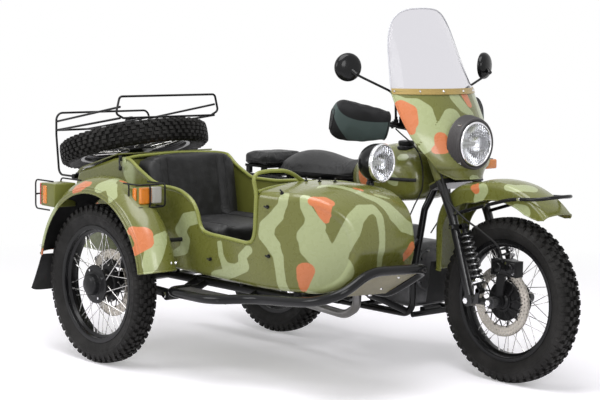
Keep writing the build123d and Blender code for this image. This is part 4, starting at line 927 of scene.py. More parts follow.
fitted("headlamp_sleeve", turned(back, front, eased(sleeve, 3, 0.0015), 96), sleeve_plastic,
    ["headlight"], body="steering", crease=35)
bowl = [(0.0, 0.0002), (0.0, 0.052), (0.01, 0.066), (0.045, 0.0935), (0.09, 0.0945), (0.09, 0.088)]
ears = together([bars([1.19, s * 0.08, 0.983], [1.107, s * 0.112, 0.95], 0.009, 12) for s in (-1, 1)])
fitted("headlamp_bowl", [turned(back, front, eased(bowl, 5, 0.012), 72), ears], satin_black,
    body="steering")
fit_lamp("headlamp", "steering", back, front, 0.0885, 0.055, 72, 35)
turn = np.radians([45, 135, 225, 315])
screw = points_of(1.243, 0.1125 * np.cos(turn), 0.983 + 0.1125 * np.sin(turn))
fitted("headlamp_screws", bars(screw - [0.01, 0, 0], screw + [0.008, 0, 0], 0.0045, 10), chrome,
    body="steering")


# ---- handlebar, muffs and mirrors
# A black tube handlebar with levers, padded fabric muffs over its grips, and round mirrors on bent
# stems. The muffs have a coated black top, a slate lower panel and piped seams.
def soft_bag(side, rows, count, around):
    """A padded bag on the grip: squared-off ovals along the bar, drawn forward and wider at the top, their
    outline rippled where the cloth gathers."""
    knee, end = np.array([0.982, side * 0.2, 1.054]), np.array([0.85, side * 0.41, 1.082])
    run = unit(end - knee)
    across = unit(np.cross([0, 0, 1.0], run))
    up = np.cross(run, across)
    share, wide, high, drop = smooth_rows(rows, count).T
    a = round_turn(around)
    square = 2 / 3.0
    cos, sin = np.sign(np.cos(a)) * np.abs(np.cos(a)) ** square, np.sign(np.sin(a)) * np.abs(
        np.sin(a)) ** square
    swell = 1 + 0.02 * np.sin(3 * a[None] + 9 * share[:, None]) + 0.012 * np.sin(7 * a[None] - 14
        * share[:, None]) + 0.008 * np.sin(2 * a[None] + 31 * share[:, None])
    middle = knee + (end - knee) * share[:, None] - np.array([0, 0, 1.0]) * drop[:, None]
    lean = cos * (0.88 + 0.2 * sin) + 0.24 * sin
    return middle[:, None] + across * (wide[:, None] * lean * swell)[...,
        None] + up * (high[:, None] * sin * swell)[..., None]


MUFF_ROWS = [(0.15, 0.004, 0.004, 0.004), (0.14, 0.03, 0.036, 0.006), (0.15, 0.046, 0.056, 0.008),
    (0.22, 0.055, 0.063, 0.008), (0.35, 0.064, 0.07, 0.008), (0.5, 0.071, 0.076, 0.008),
    (0.75, 0.073, 0.083, 0.006), (0.92, 0.071, 0.085, 0.004), (1.03, 0.064, 0.079, 0.004),
    (1.1, 0.05, 0.062, 0.006), (1.13, 0.03, 0.036, 0.008), (1.134, 0.004, 0.004, 0.008)]


def slate_share(points, view=(0.662, 0.749)):
    """How far a point lies inside the slate crescent of its bag, in centimetres. Its two edges are lines on
    the bag's outer front corner: a rounded flap of black above, and a band that curves round the end."""
    along = view[0] * points[:, 0] - view[1] * np.abs(points[:, 1])
    level = points[:, 2]
    flap = (np.abs((along - 0.478) / 0.236) ** 3 + np.abs((level - 1.182) / 0.113) ** 3) ** (1 / 3) - 1
    flap = np.where(level > 1.182, np.abs((along - 0.478) / 0.236) - 1, flap)
    band = along - 0.222 - 2.6 * np.maximum(1.158 - level, 0) ** 2
    return 100 * np.minimum(flap * 0.11, band)


muff_cloth, muff_shader = new_material("muff cloth", (0.01, 0.01, 0.011), 0.62, Specular_IOR_Level=0.25)
panel = node(muff_cloth, "Attribute", [], attribute_name="slate_panel").outputs["Fac"]
slate = spread(muff_cloth, panel, -0.08, 0.08)
weave = node(muff_cloth, "TexWave", [("Vector", object_place(muff_cloth)), ("Scale", 260.0),
    ("Distortion", 0.6)])
wire(mixed(muff_cloth, slate, (0.01, 0.01, 0.011), (0.066, 0.092, 0.088)), muff_shader, "Base Color")
bumped(muff_cloth, muff_shader, reckoned(muff_cloth, "ADD", weave.outputs["Fac"],
    noise(muff_cloth, 60.0, 4.0)), 0.0006)
bags = together([grid(soft_bag(s, MUFF_ROWS, 90, 72), wrap_v=True) for s in (-1, 1)])
muffs = fitted("hand_muff_bags", bags, muff_cloth, ["hand_muffs"], body="steering",
    crease=80)
muffs.data.attributes.new("slate_panel", "FLOAT", "POINT").data.foreach_set("value",
    slate_share(corners_of(muffs) - REAR).astype(np.float32))
piping = []
for s in (-1, 1):
    surface = soft_bag(s, MUFF_ROWS, 90, 72)
    for ring in (20, 78):
        piping.append(tube(surface[ring], 0.0028, 8, loop=True))
fitted("hand_muff_piping", piping, satin_black, body="steering")
refinish(black_enamel, "handlebar")
mirror_glass = bright_metal("mirror glass", (0.9, 0.91, 0.93), 0.03, 20.0)
heads, faces, stems = [], [], []
for s in (-1, 1):
    centre = np.array([0.913, s * 0.42, 1.3])
    dome = [(-0.006, 0.0535), (-0.01, 0.056), (-0.01, 0.059), (-0.004, 0.0602), (0.004, 0.06),
        (0.011, 0.0565), (0.018, 0.0495), (0.023, 0.039), (0.026, 0.026), (0.028, 0.012), (0.0285, 0.0002)]
    aim = np.array([0.94, s * 0.34, 0.0])
    heads.append(turned(centre, centre + aim, eased(dome, 4, 0.003), 56))
    faces.append(turned(centre, centre + aim, [(-0.0065, 0.0002), (-0.0065, 0.0565), (-0.004, 0.057),
        (-0.004, 0.0002)], 56))
    foot = np.array([0.982, s * 0.2, 1.054])
    stems.append(bent_tube([foot + [0, 0, 0.006], [0.978, s * 0.202, 1.188],
        centre + [0.044, -s * 0.008, -0.03], centre + [0.022, -s * 0.003, -0.012]], 0.0052, 0.045))
    stems.append(turned(foot + [0.0, 0, 0.006], foot + [0, 0, 0.05], [(0, 0.0002), (0, 0.011),
        (0.018, 0.011), (0.02, 0.007), (0.03, 0.007), (0.03, 0.0002)], 6))
    stems.append(bars([foot - [0.006, -s * 0.009, -0.001]], [foot + [-0.01, s * 0.016, 0.002]], 0.0165, 20))
    stems.append(turned(centre + [0.046, -s * 0.008, -0.031], centre,
        [(0, 0.0002), (0, 0.009), (0.02, 0.011), (0.03, 0.012), (0.03, 0.0002)], 16))
fitted("mirror_shells", heads, black_enamel, ["mirrors"], body="steering")
fitted("mirror_faces", faces, mirror_glass, body="steering")
fitted("mirror_stems", stems, black_enamel, body="steering")


# ---- motorcycle frame and swing arm
# Welded steel tubes in black enamel, with the swing arm, the centre stand and the pedals. A cast
# alloy case with a ring of studs holds the final drive, on the rear wheel's right.
refinish(black_enamel, "main_frame", "swing_arm", "centre_stand", "saddle_base", "foot_controls")
case_metal = cast_metal("drive case", (0.3, 0.3, 0.31), 0.42)
cover = [(0, 0.0002), (0, 0.052), (0.006, 0.06), (0.012, 0.066), (0.024, 0.0885), (0.07, 0.0885),
    (0.082, 0.08), (0.092, 0.078), (0.092, 0.0002)]
fitted("final_drive_case", turned([0, -0.1535, 0.346], [0, -0.06, 0.346], eased(cover, 4, 0.005), 64),
    case_metal, crease=35)
i = round_turn(8) + 0.2
studs = on_circle(i, 0.073, -0.143) + [0, 0, 0.346]
fitted("final_drive_studs", bars(studs, studs - [0, 0.008, 0], 0.0055, 6), chrome)


# ---- fuel tank
# A pressed and welded steel tank with rounded shoulders over the frame's spine, a filler cap on its
# right, and rubber knee strips. Its paint is the same camouflage.
# How square a section is above and below its shoulder: two is an oval.
SQUARE_TOP, SQUARE_LOW = 2.3, 4.0


def lofted(rows, count, around):
    """A closed form along x. Columns: x, half width, bottom, shoulder and top heights. Each section is an
    oval above its shoulder and a squarer one below it."""
    x, half, low, shoulder, top = smooth_rows(rows, count).T[..., None]
    a = round_turn(around)[None]
    above = np.sin(a) >= 0
    power = np.where(above, 2 / SQUARE_TOP, 2 / SQUARE_LOW)
    cos = np.sign(np.cos(a)) * np.abs(np.cos(a)) ** power
    sin = np.abs(np.sin(a)) ** power
    z = np.where(above, shoulder + (top - shoulder) * sin, shoulder - (shoulder - low) * sin)
    return points_of(x, half * cos, z)


TANK_ROWS = [(0.602, 0.004, 0.808, 0.812, 0.816), (0.602, 0.06, 0.775, 0.806, 0.85),
    (0.612, 0.096, 0.762, 0.804, 0.872), (0.65, 0.122, 0.745, 0.814, 0.905),
    (0.7, 0.141, 0.733, 0.822, 0.932), (0.78, 0.15, 0.72, 0.828, 0.956), (0.87, 0.153, 0.712, 0.83, 0.964),
    (0.94, 0.146, 0.718, 0.82, 0.956), (0.99, 0.128, 0.728, 0.806, 0.932),
    (1.022, 0.105, 0.748, 0.802, 0.89), (1.036, 0.07, 0.77, 0.8, 0.845), (1.038, 0.004, 0.798, 0.8, 0.802)]
TANK_SAGE = [[(906, -149, 819, 31, 26), (928, -146, 808, 26, 22)], [(881, -144, 860, 21, 17),
    (891, -147, 848, 21, 17)], [(933, -111, 906, 21, 17), (946, -106, 907, 21, 17)]]
TANK_ORANGE = [[(611, -86, 829, 16, 13), (604, -96, 804, 22, 18), (608, -99, 781, 16, 13)]]
tank_paint = camouflage("tank paint", [(LEFT, REAR[1] + 0.02), (BACK, -REAR[0] - 0.8)])
tank = fitted("fuel_tank_shell", grid(lofted(TANK_ROWS, 96, 80), wrap_v=True), tank_paint,
    ["fuel_tank"], crease=60)
dappled(tank, TANK_SAGE, TANK_ORANGE)
cap_foot = np.array([0.905, -0.058, 0.938])
cap_rows = [(0, 0.001), (0, 0.04), (0.014, 0.04), (0.017, 0.034), (0.022, 0.033), (0.024, 0.0355),
    (0.036, 0.0355), (0.04, 0.032), (0.042, 0.02), (0.0425, 0.001)]
fitted("filler_cap", turned(cap_foot, cap_foot + [0, 0, 1], eased(cap_rows, 3, 0.002), 48), satin_black)
strips = []
for s in (-1, 1):
    along_x = np.linspace(0.845, 1.02, 12)
    out_y = np.interp(along_x, [0.84, 0.87, 0.94, 0.99, 1.03], [0.153, 0.154, 0.147, 0.131, 0.1])
    strips.append(tube(points_of(along_x, s * (out_y + 0.001), 0.8165), 0.0075, 10))
fitted("knee_strips", strips, flap_rubber)


# ---- saddle and pillion pad
# Moulded foam under a stretched black vinyl cover, stitched round its top edge. Each pad is a copy of
# its frame piece, blown out by cloth simulation between its seams and capped, then finely rounded.
# The pressure inside a pad, and for how many steps it is blown out.
SWELL, CLOTH_STEPS = 4.0, 20


def softened(points, face_axes, power, bolster, out_axis, out_way):
    """Corners of a pad drawn in to a rounded square across two axes, its sides raised into bolsters.
    Each offset is scaled by its larger share over the two shares' power mean; the lift is a raised cosine."""
    middle, half = (points.max(0) + points.min(0)) / 2, (points.max(0) - points.min(0)) / 2
    share = (points - middle) / half
    u, v = (np.abs(share[:, axis]) for axis in face_axes)
    scale = np.maximum(u, v) / np.maximum((u ** power + v ** power) ** (1 / power), 1e-6)
    result = points.copy()
    for axis in face_axes:
        result[:, axis] = middle[axis] + share[:, axis] * half[axis] * scale
    near_face = np.clip(share[:, out_axis] * out_way, 0, 1)
    lift = np.clip((np.abs(share[:, 1]) - 0.58) / 0.42, 0, 1)
    result[:, out_axis] += out_way * near_face * bolster * np.sin(np.pi * lift) ** 2
    return result


def stuffed(name, source, cap, seams, voxel=0.006, shape=None):
    """A pad's simulated cover: its seams, (axis, value) planes, are held while the rest is blown out."""
    thing = placed(name, merged(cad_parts[source].data.copy()))
    remesh = thing.modifiers.new("remesh", "REMESH")
    remesh.mode = "VOXEL"
    remesh.voxel_size = voxel
    settle(thing)
    rest = corners_of(thing)
    middle = (rest.max(0) + rest.min(0)) / 2
    rest = middle + (rest - middle) * (1 - cap * 0.5 / (rest.max(0) - rest.min(0)))
    rest = softened(rest, *shape) if shape else rest
    thing.data.vertices.foreach_set("co", rest.ravel())
    held = thing.vertex_groups.new(name="held")
    for axis, value in seams:
        near = np.abs(rest[:, axis] - value) < voxel * 0.55
        held.add(np.nonzero(near)[0].tolist(), 1.0, "REPLACE")
    cloth = thing.modifiers.new("cloth", "CLOTH")
    cloth.settings.use_pressure = True
    cloth.settings.uniform_pressure_force = SWELL
    cloth.settings.effector_weights.gravity = 0
    cloth.settings.vertex_group_mass = "held"
    cloth.settings.quality = 4
    for step in range(1, CLOTH_STEPS + 1):
        bpy.context.scene.frame_set(step)
    settle(thing)
    bpy.context.scene.frame_set(1)
    shift = corners_of(thing) - rest
    far = np.linalg.norm(shift, axis=1, keepdims=True)
    thing.data.vertices.foreach_set("co", (rest + shift * np.minimum(1,
        cap / np.maximum(far, 1e-9))).ravel())
    thing.vertex_groups.clear()
    smoother = thing.modifiers.new("fine", "SUBSURF")
    smoother.levels = smoother.render_levels = 1
    settle(thing)
    thing.data.polygons.foreach_set("use_smooth", np.ones(len(thing.data.polygons), bool))
    thing.data.materials.clear()
    thing.data.materials.append(black_vinyl)
    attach(thing, "outfit")
    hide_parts(source)
    return thing


def settle(thing):
    """Makes what the modifiers show the object's own mesh."""
    shown = thing.evaluated_get(bpy.context.evaluated_depsgraph_get())
    fixed = bpy.data.meshes.new_from_object(shown)
    thing.modifiers.clear()
    thing.data = fixed


def stitched(name, thing, starts, aims, radius=0.0022, sides=6, loop=False):
    """A piped seam laid on a pad: each start is dropped onto its surface along its own aim."""
    tree = BVHTree.FromObject(thing, bpy.context.evaluated_depsgraph_get())
    hits = [tree.ray_cast(Vector(p), Vector(aim))[0] for p, aim in zip(starts, aims)]
    path = np.array([h for h in hits if h is not None])
    piece(name, tube(path, radius, sides, loop=loop), seam_thread, "outfit", crease=60)


def vinyl(name, shade, roughness):
    """Coated cloth with a leather grain: two sizes of cells raised, and a faint bloom of wear."""
    mat, shader = new_material(name, shade, roughness, Specular_IOR_Level=0.3)
    cells = node(mat, "TexVoronoi", [("Vector", object_place(mat)), ("Scale", 420.0)]).outputs["Distance"]
    wide = noise(mat, 26.0, 4.0)
    wire(mixed(mat, spread(mat, wide, 0.42, 0.75), shade, [c * 1.5 + 0.004 for c in shade]), shader,
        "Base Color")
    wire(spread(mat, wide, 0.3, 0.7, roughness - 0.07, roughness + 0.08), shader, "Roughness")
    bumped(mat, shader, reckoned(mat, "ADD", cells, wide), 0.0008, 0.7)
    return mat


black_vinyl = vinyl("black vinyl", (0.012, 0.012, 0.0125), 0.46)
seam_thread = vinyl("seam piping", (0.007, 0.007, 0.007), 0.5)
saddle_pad = stuffed("saddle_cover", "saddle", 0.008, [], voxel=0.005)
pillion = stuffed("pillion_cover", "pillion_pad", 0.01, [], voxel=0.005,
    shape=((0, 1), 9.0, 0.0, 2, 1))
for name, thing, level in (("saddle_piping", saddle_pad, 0.8), ("pillion_piping", pillion, 0.822)):
    a = round_turn(72)
    box = corners_of(thing)[:, :2]
    centre, half = (box.max(0) + box.min(0)) / 2, (box.max(0) - box.min(0)) / 2
    reach = 1.5 * half * np.stack([np.cos(a), np.sin(a)], 1)
    starts, aims = np.insert(centre + reach, 2, level, 1), np.insert(-reach, 2, 0, 1)
    stitched(name, thing, starts, aims, 0.0026, 7, True)


# ---- engine
# An air-cooled boxer twin: a cast crankcase and gearbox in one block, a finned barrel and head on each
# side with a rocker cover, and a carburettor and rubber elbow behind each.
def block(low, high, bend, steps=5):
    """A box with rounded edges: each corner is an eighth of a ball, moved out to the box's corner."""
    low, high = np.sort([low, high], axis=0)
    lon = np.concatenate([np.linspace(q, q + 90, steps) for q in (0, 90, 180, 270)])
    lat = np.concatenate([np.linspace(-90, 0, steps), np.linspace(0, 90, steps)])
    sx = np.repeat([1, -1, -1, 1], steps)
    sy = np.repeat([1, 1, -1, -1], steps)
    sz = np.repeat([-1, 1], steps)
    lon, lat = np.radians(lon)[None], np.radians(lat)[:, None]
    way = points_of(np.cos(lat) * np.cos(lon), np.cos(lat) * np.sin(lon), np.sin(lat))
    corner = np.stack(np.broadcast_arrays(sx[None], sy[None], sz[:, None]), -1)
    points = (low + high) / 2 + corner * ((high - low) / 2 - bend) + way * bend
    pole = [np.broadcast_to(points[i].mean(0), points[i].shape)[None] for i in (0, -1)]
    return grid(np.concatenate([pole[0], points, pole[1]]), wrap_v=True)


alloy = cast_metal("cast alloy", (0.13, 0.13, 0.133), 0.46)
dark_alloy = cast_metal("dark alloy", (0.075, 0.075, 0.077), 0.5)
blocks = [block((0.7, -0.112, 0.258), (1.012, 0.112, 0.54), 0.03), block((0.47, -0.098, 0.27),
    (0.705, 0.098, 0.5), 0.035), block((0.745, -0.066, 0.5), (0.905, 0.066, 0.602), 0.022),
    block((0.735, -0.085, 0.2582), (0.975, 0.085, 0.3), 0.012), turned([0.995, 0, 0.42], [1.02, 0, 0.42],
    eased([(0, 0.001), (0, 0.1), (0.02, 0.098), (0.0235, 0.085), (0.024, 0.001)], 4, 0.006), 64)]
blocks += [turned([0.905 - 0.03 * k, -0.104, 0.455], [0.905 - 0.03 * k, 0.104, 0.455],
    [(0, 0.001), (0, 0.075), (0.208, 0.075), (0.208, 0.001)], 40) for k in (0, 1)]
fitted("engine_case", blocks, alloy, ["engine_block"], crease=35)
i = round_turn(10)
face_bolts = points_of(1.0185, 0.088 * np.cos(i), 0.42 + 0.088 * np.sin(i))
sump = points_of(np.linspace(0.745, 0.965, 6).repeat(2), np.tile([-0.078, 0.078], 6), 0.26)
fitted("engine_bolts", [bars(face_bolts, face_bolts + [0.006, 0, 0], 0.0055, 6),
    bars(sump, sump - [0, 0, 0.0055], 0.005, 6)], chrome)
fins, covers, carbs, elbows, nuts = [], [], [], [], []
for s in (-1, 1):
    rows = [(0.0, 0.052)]
    for k in range(11):
        y = 0.006 + k * 0.0115
        rows += [(y, 0.055), (y + 0.0008, 0.078), (y + 0.0026, 0.078), (y + 0.0034, 0.055)]
    rows += [(0.134, 0.055), (0.134, 0.052)]
    fins.append(turned([0.865, s * 0.1125, 0.42], [0.865, s * 0.3, 0.42], rows, 56))
    for k in range(9):
        y = 0.243 + k * 0.0105
        inset = 0.002 * abs(k - 4)
        fins.append(block((0.79 + inset, s * y, 0.35 + inset), (0.94 - inset, s * (y + 0.0032),
            0.492 - inset), 0.0015, 2))
    fins.append(block((0.806, s * 0.243, 0.366), (0.924, s * 0.332, 0.476), 0.012))
    covers.append(block((0.8, s * 0.318, 0.36), (0.93, s * 0.349, 0.482), 0.014))
    spots = np.array([(0.814, s * 0.349, 0.372), (0.916, s * 0.349, 0.372), (0.814, s * 0.349, 0.47),
        (0.916, s * 0.349, 0.47), (0.865, s * 0.349, 0.421)])
    nuts.append(bars(spots - [0, s * 0.004, 0], spots + [0, s * 0.005, 0], 0.0065, 6))
    carbs.append(block((0.64, s * 0.218, 0.425), (0.7, s * 0.268, 0.515), 0.012))
    carbs.append(turned([0.67, s * 0.243, 0.5], [0.67, s * 0.243, 0.56],
        [(0, 0.001), (0, 0.022), (0.02, 0.022), (0.024, 0.016), (0.032, 0.014), (0.032, 0.001)], 24))
    carbs.append(turned([0.668, s * 0.243, 0.432], [0.668, s * 0.243, 0.38],
        [(0, 0.001), (0, 0.021), (0.022, 0.021), (0.028, 0.016), (0.029, 0.001)], 24))
    elbows.append(tube(eased([(0.805, s * 0.292, 0.44), (0.76, s * 0.275, 0.45), (0.7, s * 0.25, 0.468)], 6,
        0.03), 0.0235, 18))
    elbows.append(tube(eased([(0.65, s * 0.24, 0.474), (0.6, s * 0.196, 0.482), (0.56, s * 0.12, 0.488),
        (0.56, s * 0.08, 0.488)], 6, 0.04), 0.027, 20))
fitted("finned_barrels_and_heads", fins, dark_alloy, ["engine_cylinders"], crease=30)
fitted("rocker_covers", covers, alloy, crease=40)
fitted("rocker_cover_nuts", nuts, chrome)
fitted("carburettors", carbs, alloy, crease=40)
fitted("intake_elbows", elbows, flap_rubber, crease=50)


# ---- exhaust
# A steel pipe from each head, clamped to a long tapered silencer under the frame. The steel is
# darker towards the engine, where it runs hot.
steel, steel_shader = new_material("exhaust steel", (0.3, 0.295, 0.29), 0.34, 1.0)
heat = spread(steel, level_along(steel, (1.0, 0.0, 0.0)), -0.05, 0.3)
stain = spread(steel, noise(steel, 8.0, 5.0), 0.35, 0.75)
wire(mixed(steel, heat, mixed(steel, stain, (0.34, 0.335, 0.33), (0.2, 0.195, 0.19)),
    mixed(steel, stain, (0.22, 0.21, 0.2), (0.13, 0.128, 0.13))), steel_shader, "Base Color")
uneven_gloss(steel, steel_shader, 90.0, 4.0, 0.26, 0.48)
pipes, clamps = [], []
for s in (-1, 1):
    pipes.append(tube(eased([(0.865, s * 0.3, 0.3497), (0.865, s * 0.3, 0.262), (0.76, s * 0.27, 0.212),
        (0.33, s * 0.215, 0.222), (0.24, s * 0.21, 0.236)], 8, 0.042), 0.019, 20))
    can = [(0, 0.0195), (0.012, 0.022), (0.06, 0.0415), (0.075, 0.042), (0.5, 0.042), (0.515, 0.0415),
        (0.555, 0.02), (0.562, 0.0195), (0.562, 0.016), (0.52, 0.0155), (0.52, 0.001)]
    pipes.append(turned([0.262, s * 0.21, 0.235], [-0.3, s * 0.212, 0.262],
        eased([(0, 0.001), *can], 4, 0.006), 48))
    pipes.append(block((0.3, s * 0.1453, 0.222), (0.372, s * 0.205, 0.242), 0.004, 3))
    for x in (0.27, 0.252):
        clamps.append(turned([x, s * 0.2125, 0.2345], [x + 0.01, s * 0.2125, 0.2343],
            [(0, 0.021), (0, 0.0245), (0.009, 0.0245), (0.009, 0.021)], 32))
    clamps.append(turned([0.865, s * 0.3, 0.352], [0.865, s * 0.3, 0.33],
        eased([(0, 0.02), (0, 0.03), (0.01, 0.03), (0.012, 0.024), (0.018, 0.024), (0.018, 0.02)], 3,
        0.001), 32))
fitted("exhaust_pipes", pipes, steel, ["exhaust"], crease=35)
fitted("exhaust_clamps", clamps, chrome)


# ---- rear guard, tail lamp and rear springs
# A rolled steel guard over the rear wheel, sprayed with the rest, a tail lamp on a bracket behind it,
# and three coil springs over dampers for the swing arm and the sidecar's arm.
def wheel_guard(middle, y, half, lip, crown, start, sweep, ribs=()):
    """An arc section, lip to crown to lip, turned about an axle, with ribs at given shares across it."""
    rise = crown - lip
    bend = (half ** 2 + rise ** 2) / (2 * rise)
    widest = np.arcsin(half / bend)
    share = np.linspace(-1, 1, 61)
    lift = sum((0.0028 * np.exp(-((share - rib) / 0.022) ** 2) for rib in ribs), np.zeros(61))
    section = np.stack([(bend + lift) * np.sin(share * widest), crown - bend + (bend + lift)
        * np.cos(share * widest)], 1)
    a = np.radians(np.linspace(start, start + sweep, 90))[:, None]
    return on_circle(a, section[:, 1], y + section[:, 0]) + [middle[0], 0, middle[1]]


wild_paint = camouflage("rear paint", [(LEFT, -9.0)], banded=False)
rear_guard = wheel_guard((0.0, 0.346), 0.0, 0.078, 0.372, 0.394, 28, 140)
fitted("rear_mudguard_pressing", wired_sheet(rear_guard, 0.003, 0.0034), wild_paint,
    ["rear_mudguard"], crease=50)
fitted("rear_guard_bracket", block((-0.074, -0.03, 0.732), (-0.046, 0.03, 0.7417), 0.003, 3), satin_black)
def lens(name, shade, roughness):
    """Moulded lamp plastic, raised in a fine grid of ribs."""
    mat, shader = new_material(name, shade, roughness, Transmission_Weight=0.35, IOR=1.45, Coat_Weight=0.6)
    waves = [node(mat, "TexWave", [("Vector", object_place(mat)), ("Scale", 75.0)],
        bands_direction=way).outputs["Fac"] for way in "ZY"]
    bumped(mat, shader, reckoned(mat, "ADD", *waves), 0.0008, 0.8)
    return mat


red_lens = lens("red lens", (0.62, 0.012, 0.01), 0.08)
amber_lens = lens("amber lens", (0.95, 0.28, 0.012), 0.08)
clear_lens = lens("clear lens", (0.62, 0.61, 0.56), 0.1)
fitted("tail_lamp_body", [block((-0.372, -0.07, 0.56), (-0.364, 0.07, 0.64), 0.003, 3),
    block((-0.384, -0.05, 0.588), (-0.368, 0.05, 0.662), 0.006), block((-0.368, -0.014, 0.585),
    (-0.292, 0.014, 0.613), 0.004, 3)], satin_black, ["tail_lamp"], crease=40)
fitted("tail_lamp_lens", block((-0.41, -0.047, 0.591), (-0.383, 0.047, 0.659), 0.01), red_lens,
    crease=50)
coils, dampers, bright = [], [], []
for low, high, y in (((0.062, 0.462), (0.112, 0.712), -0.138), ((0.062, 0.462), (0.112, 0.712), 0.138),
        ((0.19, 0.392), (0.25, 0.66), -0.992)):
    for group, part in zip((coils, dampers, bright), spring_unit(low, high, y, 0.029, 0.0046, 8)):
        group.append(part)
fitted("rear_spring_coils", coils, satin_black, stands_for=["shock_absorbers"])
fitted("rear_dampers", dampers, satin_black)
fitted("rear_adjusters_and_bolts", bright, chrome)


# ---- sidecar chassis, arm and bumper
# A ladder of black tubes under the body, a trailing arm for its wheel, a bumper tube that sweeps back
# into a step, and the step's mat with its honeycomb tread. Calipers and shaft joints are castings.
refinish(satin_black, "sidecar_frame", "sidecar_arm", "front_caliper", "brake_calipers")
bumper_line = [(0.52, -0.945, 0.362), (0.52, -1.062, 0.362), (0.8, -1.062, 0.362), (0.96, -0.962, 0.378),
    (1.18, -0.956, 0.394), (1.31, -0.944, 0.408), (1.402, -0.88, 0.446), (1.402, -0.742, 0.52),
    (1.402, -0.42, 0.508), (1.29, -0.418, 0.44), (1.205, -0.45, 0.384), (1.142, -0.45, 0.384)]
step = [bent_tube(bumper_line, 0.0195, 0.075, 22, 10), block((0.524, -1.058, 0.36), (0.856, -0.952, 0.3685),
    0.003, 3), block((0.527, -1.06, 0.345), (0.798, -1.042, 0.362), 0.003, 3),
    bars([0.86, -1.03, 0.362], [0.86, -0.945, 0.362], 0.014, 18)]
fitted("bumper_and_step", step, black_enamel, stands_for=["bumper"], crease=50)
caps = [turned([x, -0.0745, 0.489], [x, -0.085, 0.489], eased([(0, 0.001), (0, 0.021), (0.006, 0.021),
    (0.0095, 0.017), (0.01, 0.001)], 3, 0.002), 32) for x in (1.468, 1.532)]
caps.append(block((1.44, -0.0785, 0.462), (1.564, -0.0715, 0.516), 0.0035, 3))
fitted("caliper_cover", caps, black_enamel, body="steering", crease=40)
refinish(case_metal, "drive_shaft")
mat_rubber, mat_shader = new_material("step mat", (0.036, 0.034, 0.034), 0.55)
comb = node(mat_rubber, "TexVoronoi", [("Vector", object_place(mat_rubber)), ("Scale", 75.0),
    ("Randomness", 0.12)], feature="DISTANCE_TO_EDGE")
bumped(mat_rubber, mat_shader, spread(mat_rubber, comb.outputs["Distance"], 0.02, 0.14), 0.003)
uneven_gloss(mat_rubber, mat_shader, 30.0, 4.0, 0.45, 0.68)
fitted("step_mat", block((0.545, -1.042, 0.3691), (0.846, -0.96, 0.3745), 0.0025, 3), mat_rubber,
    crease=50)
ends = np.array([(0.455, -1.0262, 0.335), (0.1, -1.062, 0.346)])
joint_bolts = [bars([p], [p - [0, 0.01, 0]], 0.013, 6) for p in ends[:1]]
for x in (-0.28, 0.43, 1.1):
    for y in (-0.85, -0.45):
        joint_bolts.append(bars([x, y, 0.366], [x, y, 0.358], 0.009, 6))
for x, y, z in ((1.475, -0.078, 0.47), (1.515, -0.078, 0.512), (1.555, -0.078, 0.47)):
    joint_bolts.append(bars([x, y + 0.003, z], [x, y - 0.003, z], 0.006, 6))
fitted("chassis_bolts", joint_bolts, chrome)
front_edge = np.array([(1.33, -0.93, 0.416), (1.38, -0.862, 0.452), (1.384, -0.742, 0.508),
    (1.384, -0.6, 0.504), (1.384, -0.445, 0.498)])
back_edge = np.array([(1.175, -0.93, 0.3955), (1.18, -0.81, 0.394), (1.19, -0.7, 0.392), (1.2, -0.6, 0.39),
    (1.212, -0.47, 0.388)])
share = np.linspace(0, 1, 9)[:, None, None]
panel = smooth_rows(back_edge, 25)[None] * (1 - share) + smooth_rows(front_edge, 25)[None] * share
skid_paint = enamel("skid panel", (0.105, 0.09, 0.04), 0.34, 0.2)
fitted("skid_panel", sheet(panel, 0.003), skid_paint)
studs = panel[[2, 2, 2, 6, 6, 6], [3, 12, 21, 4, 12, 21]]
fitted("skid_panel_bolts", bars(studs + [0.002, 0, -0.004], studs - [-0.002, 0, -0.006], 0.007, 10), chrome)


# ---- sidecar body
# A welded sheet-steel tub: flat sides, a crowned deck that rolls over a closed nose, an open cockpit
# and a boot under a lid. It is camouflage outside and plain olive inside, with turn-button snaps.
def on_arc(first, middle, last, count):
    """Points on the circle through three points."""
    three = np.array([first, middle, last])
    centre = np.linalg.solve(2 * (three[1:] - three[0]), (three[1:] ** 2).sum(1) - (three[0] ** 2).sum())
    away = three - centre
    start, end = np.arctan2(away[[0, 2], 1], away[[0, 2], 0])
    end = start + (end - start + np.pi) % (2 * np.pi) - np.pi
    a = np.linspace(start, end, count)
    return centre + np.hypot(*away[0]) * np.stack([np.cos(a), np.sin(a)], 1)


def side_profile():
    """The body's outline from the side: the top from tail to nose, then the bottom from tail to nose."""
    top = np.concatenate([eased([(-0.358, 0.745), (-0.343, 0.79), (-0.3, 0.815), (-0.045, 0.888),
        (0.05, 0.893), (0.3, 0.85), (0.9, 0.838), (1.06, 0.836)], 6, 0.035)[:-1],
        on_arc((1.06, 0.836), (1.262, 0.768), (1.34, 0.612), 40)])
    bottom = np.concatenate([eased([(-0.335, 0.446), (0.4, 0.432), (1.15, 0.412)], 6, 0.06)[:-1],
        on_arc((1.15, 0.412), (1.235, 0.428), (1.29, 0.474), 20)[:-1], on_arc((1.29, 0.474), (1.33, 0.535),
        (1.34, 0.612), 22)])
    return top, bottom


def set_in(line, distance, outward):
    """A line moved inwards, with its outward normals."""
    run = unit(np.gradient(line, axis=0))
    out = np.stack([-run[:, 1], run[:, 0]], 1) * outward
    return line - out * distance[:, None], out


def right_side(x):
    """Plan of the right wall: straight, then an arc towards the nose."""
    return np.where(x > 0.85, -0.35 - np.sqrt(0.585 ** 2 - np.clip(x - 0.85, 0, 0.58) ** 2), -0.935)


def left_side(x):
    """Plan of the left wall: straight, drawn in a little at the nose."""
    return -0.375 - 0.012 * np.clip((x - 0.95) / 0.3, 0, 1) ** 2 - 0.018 * np.clip((x - 1.22) / 0.09, 0,
        1) ** 2


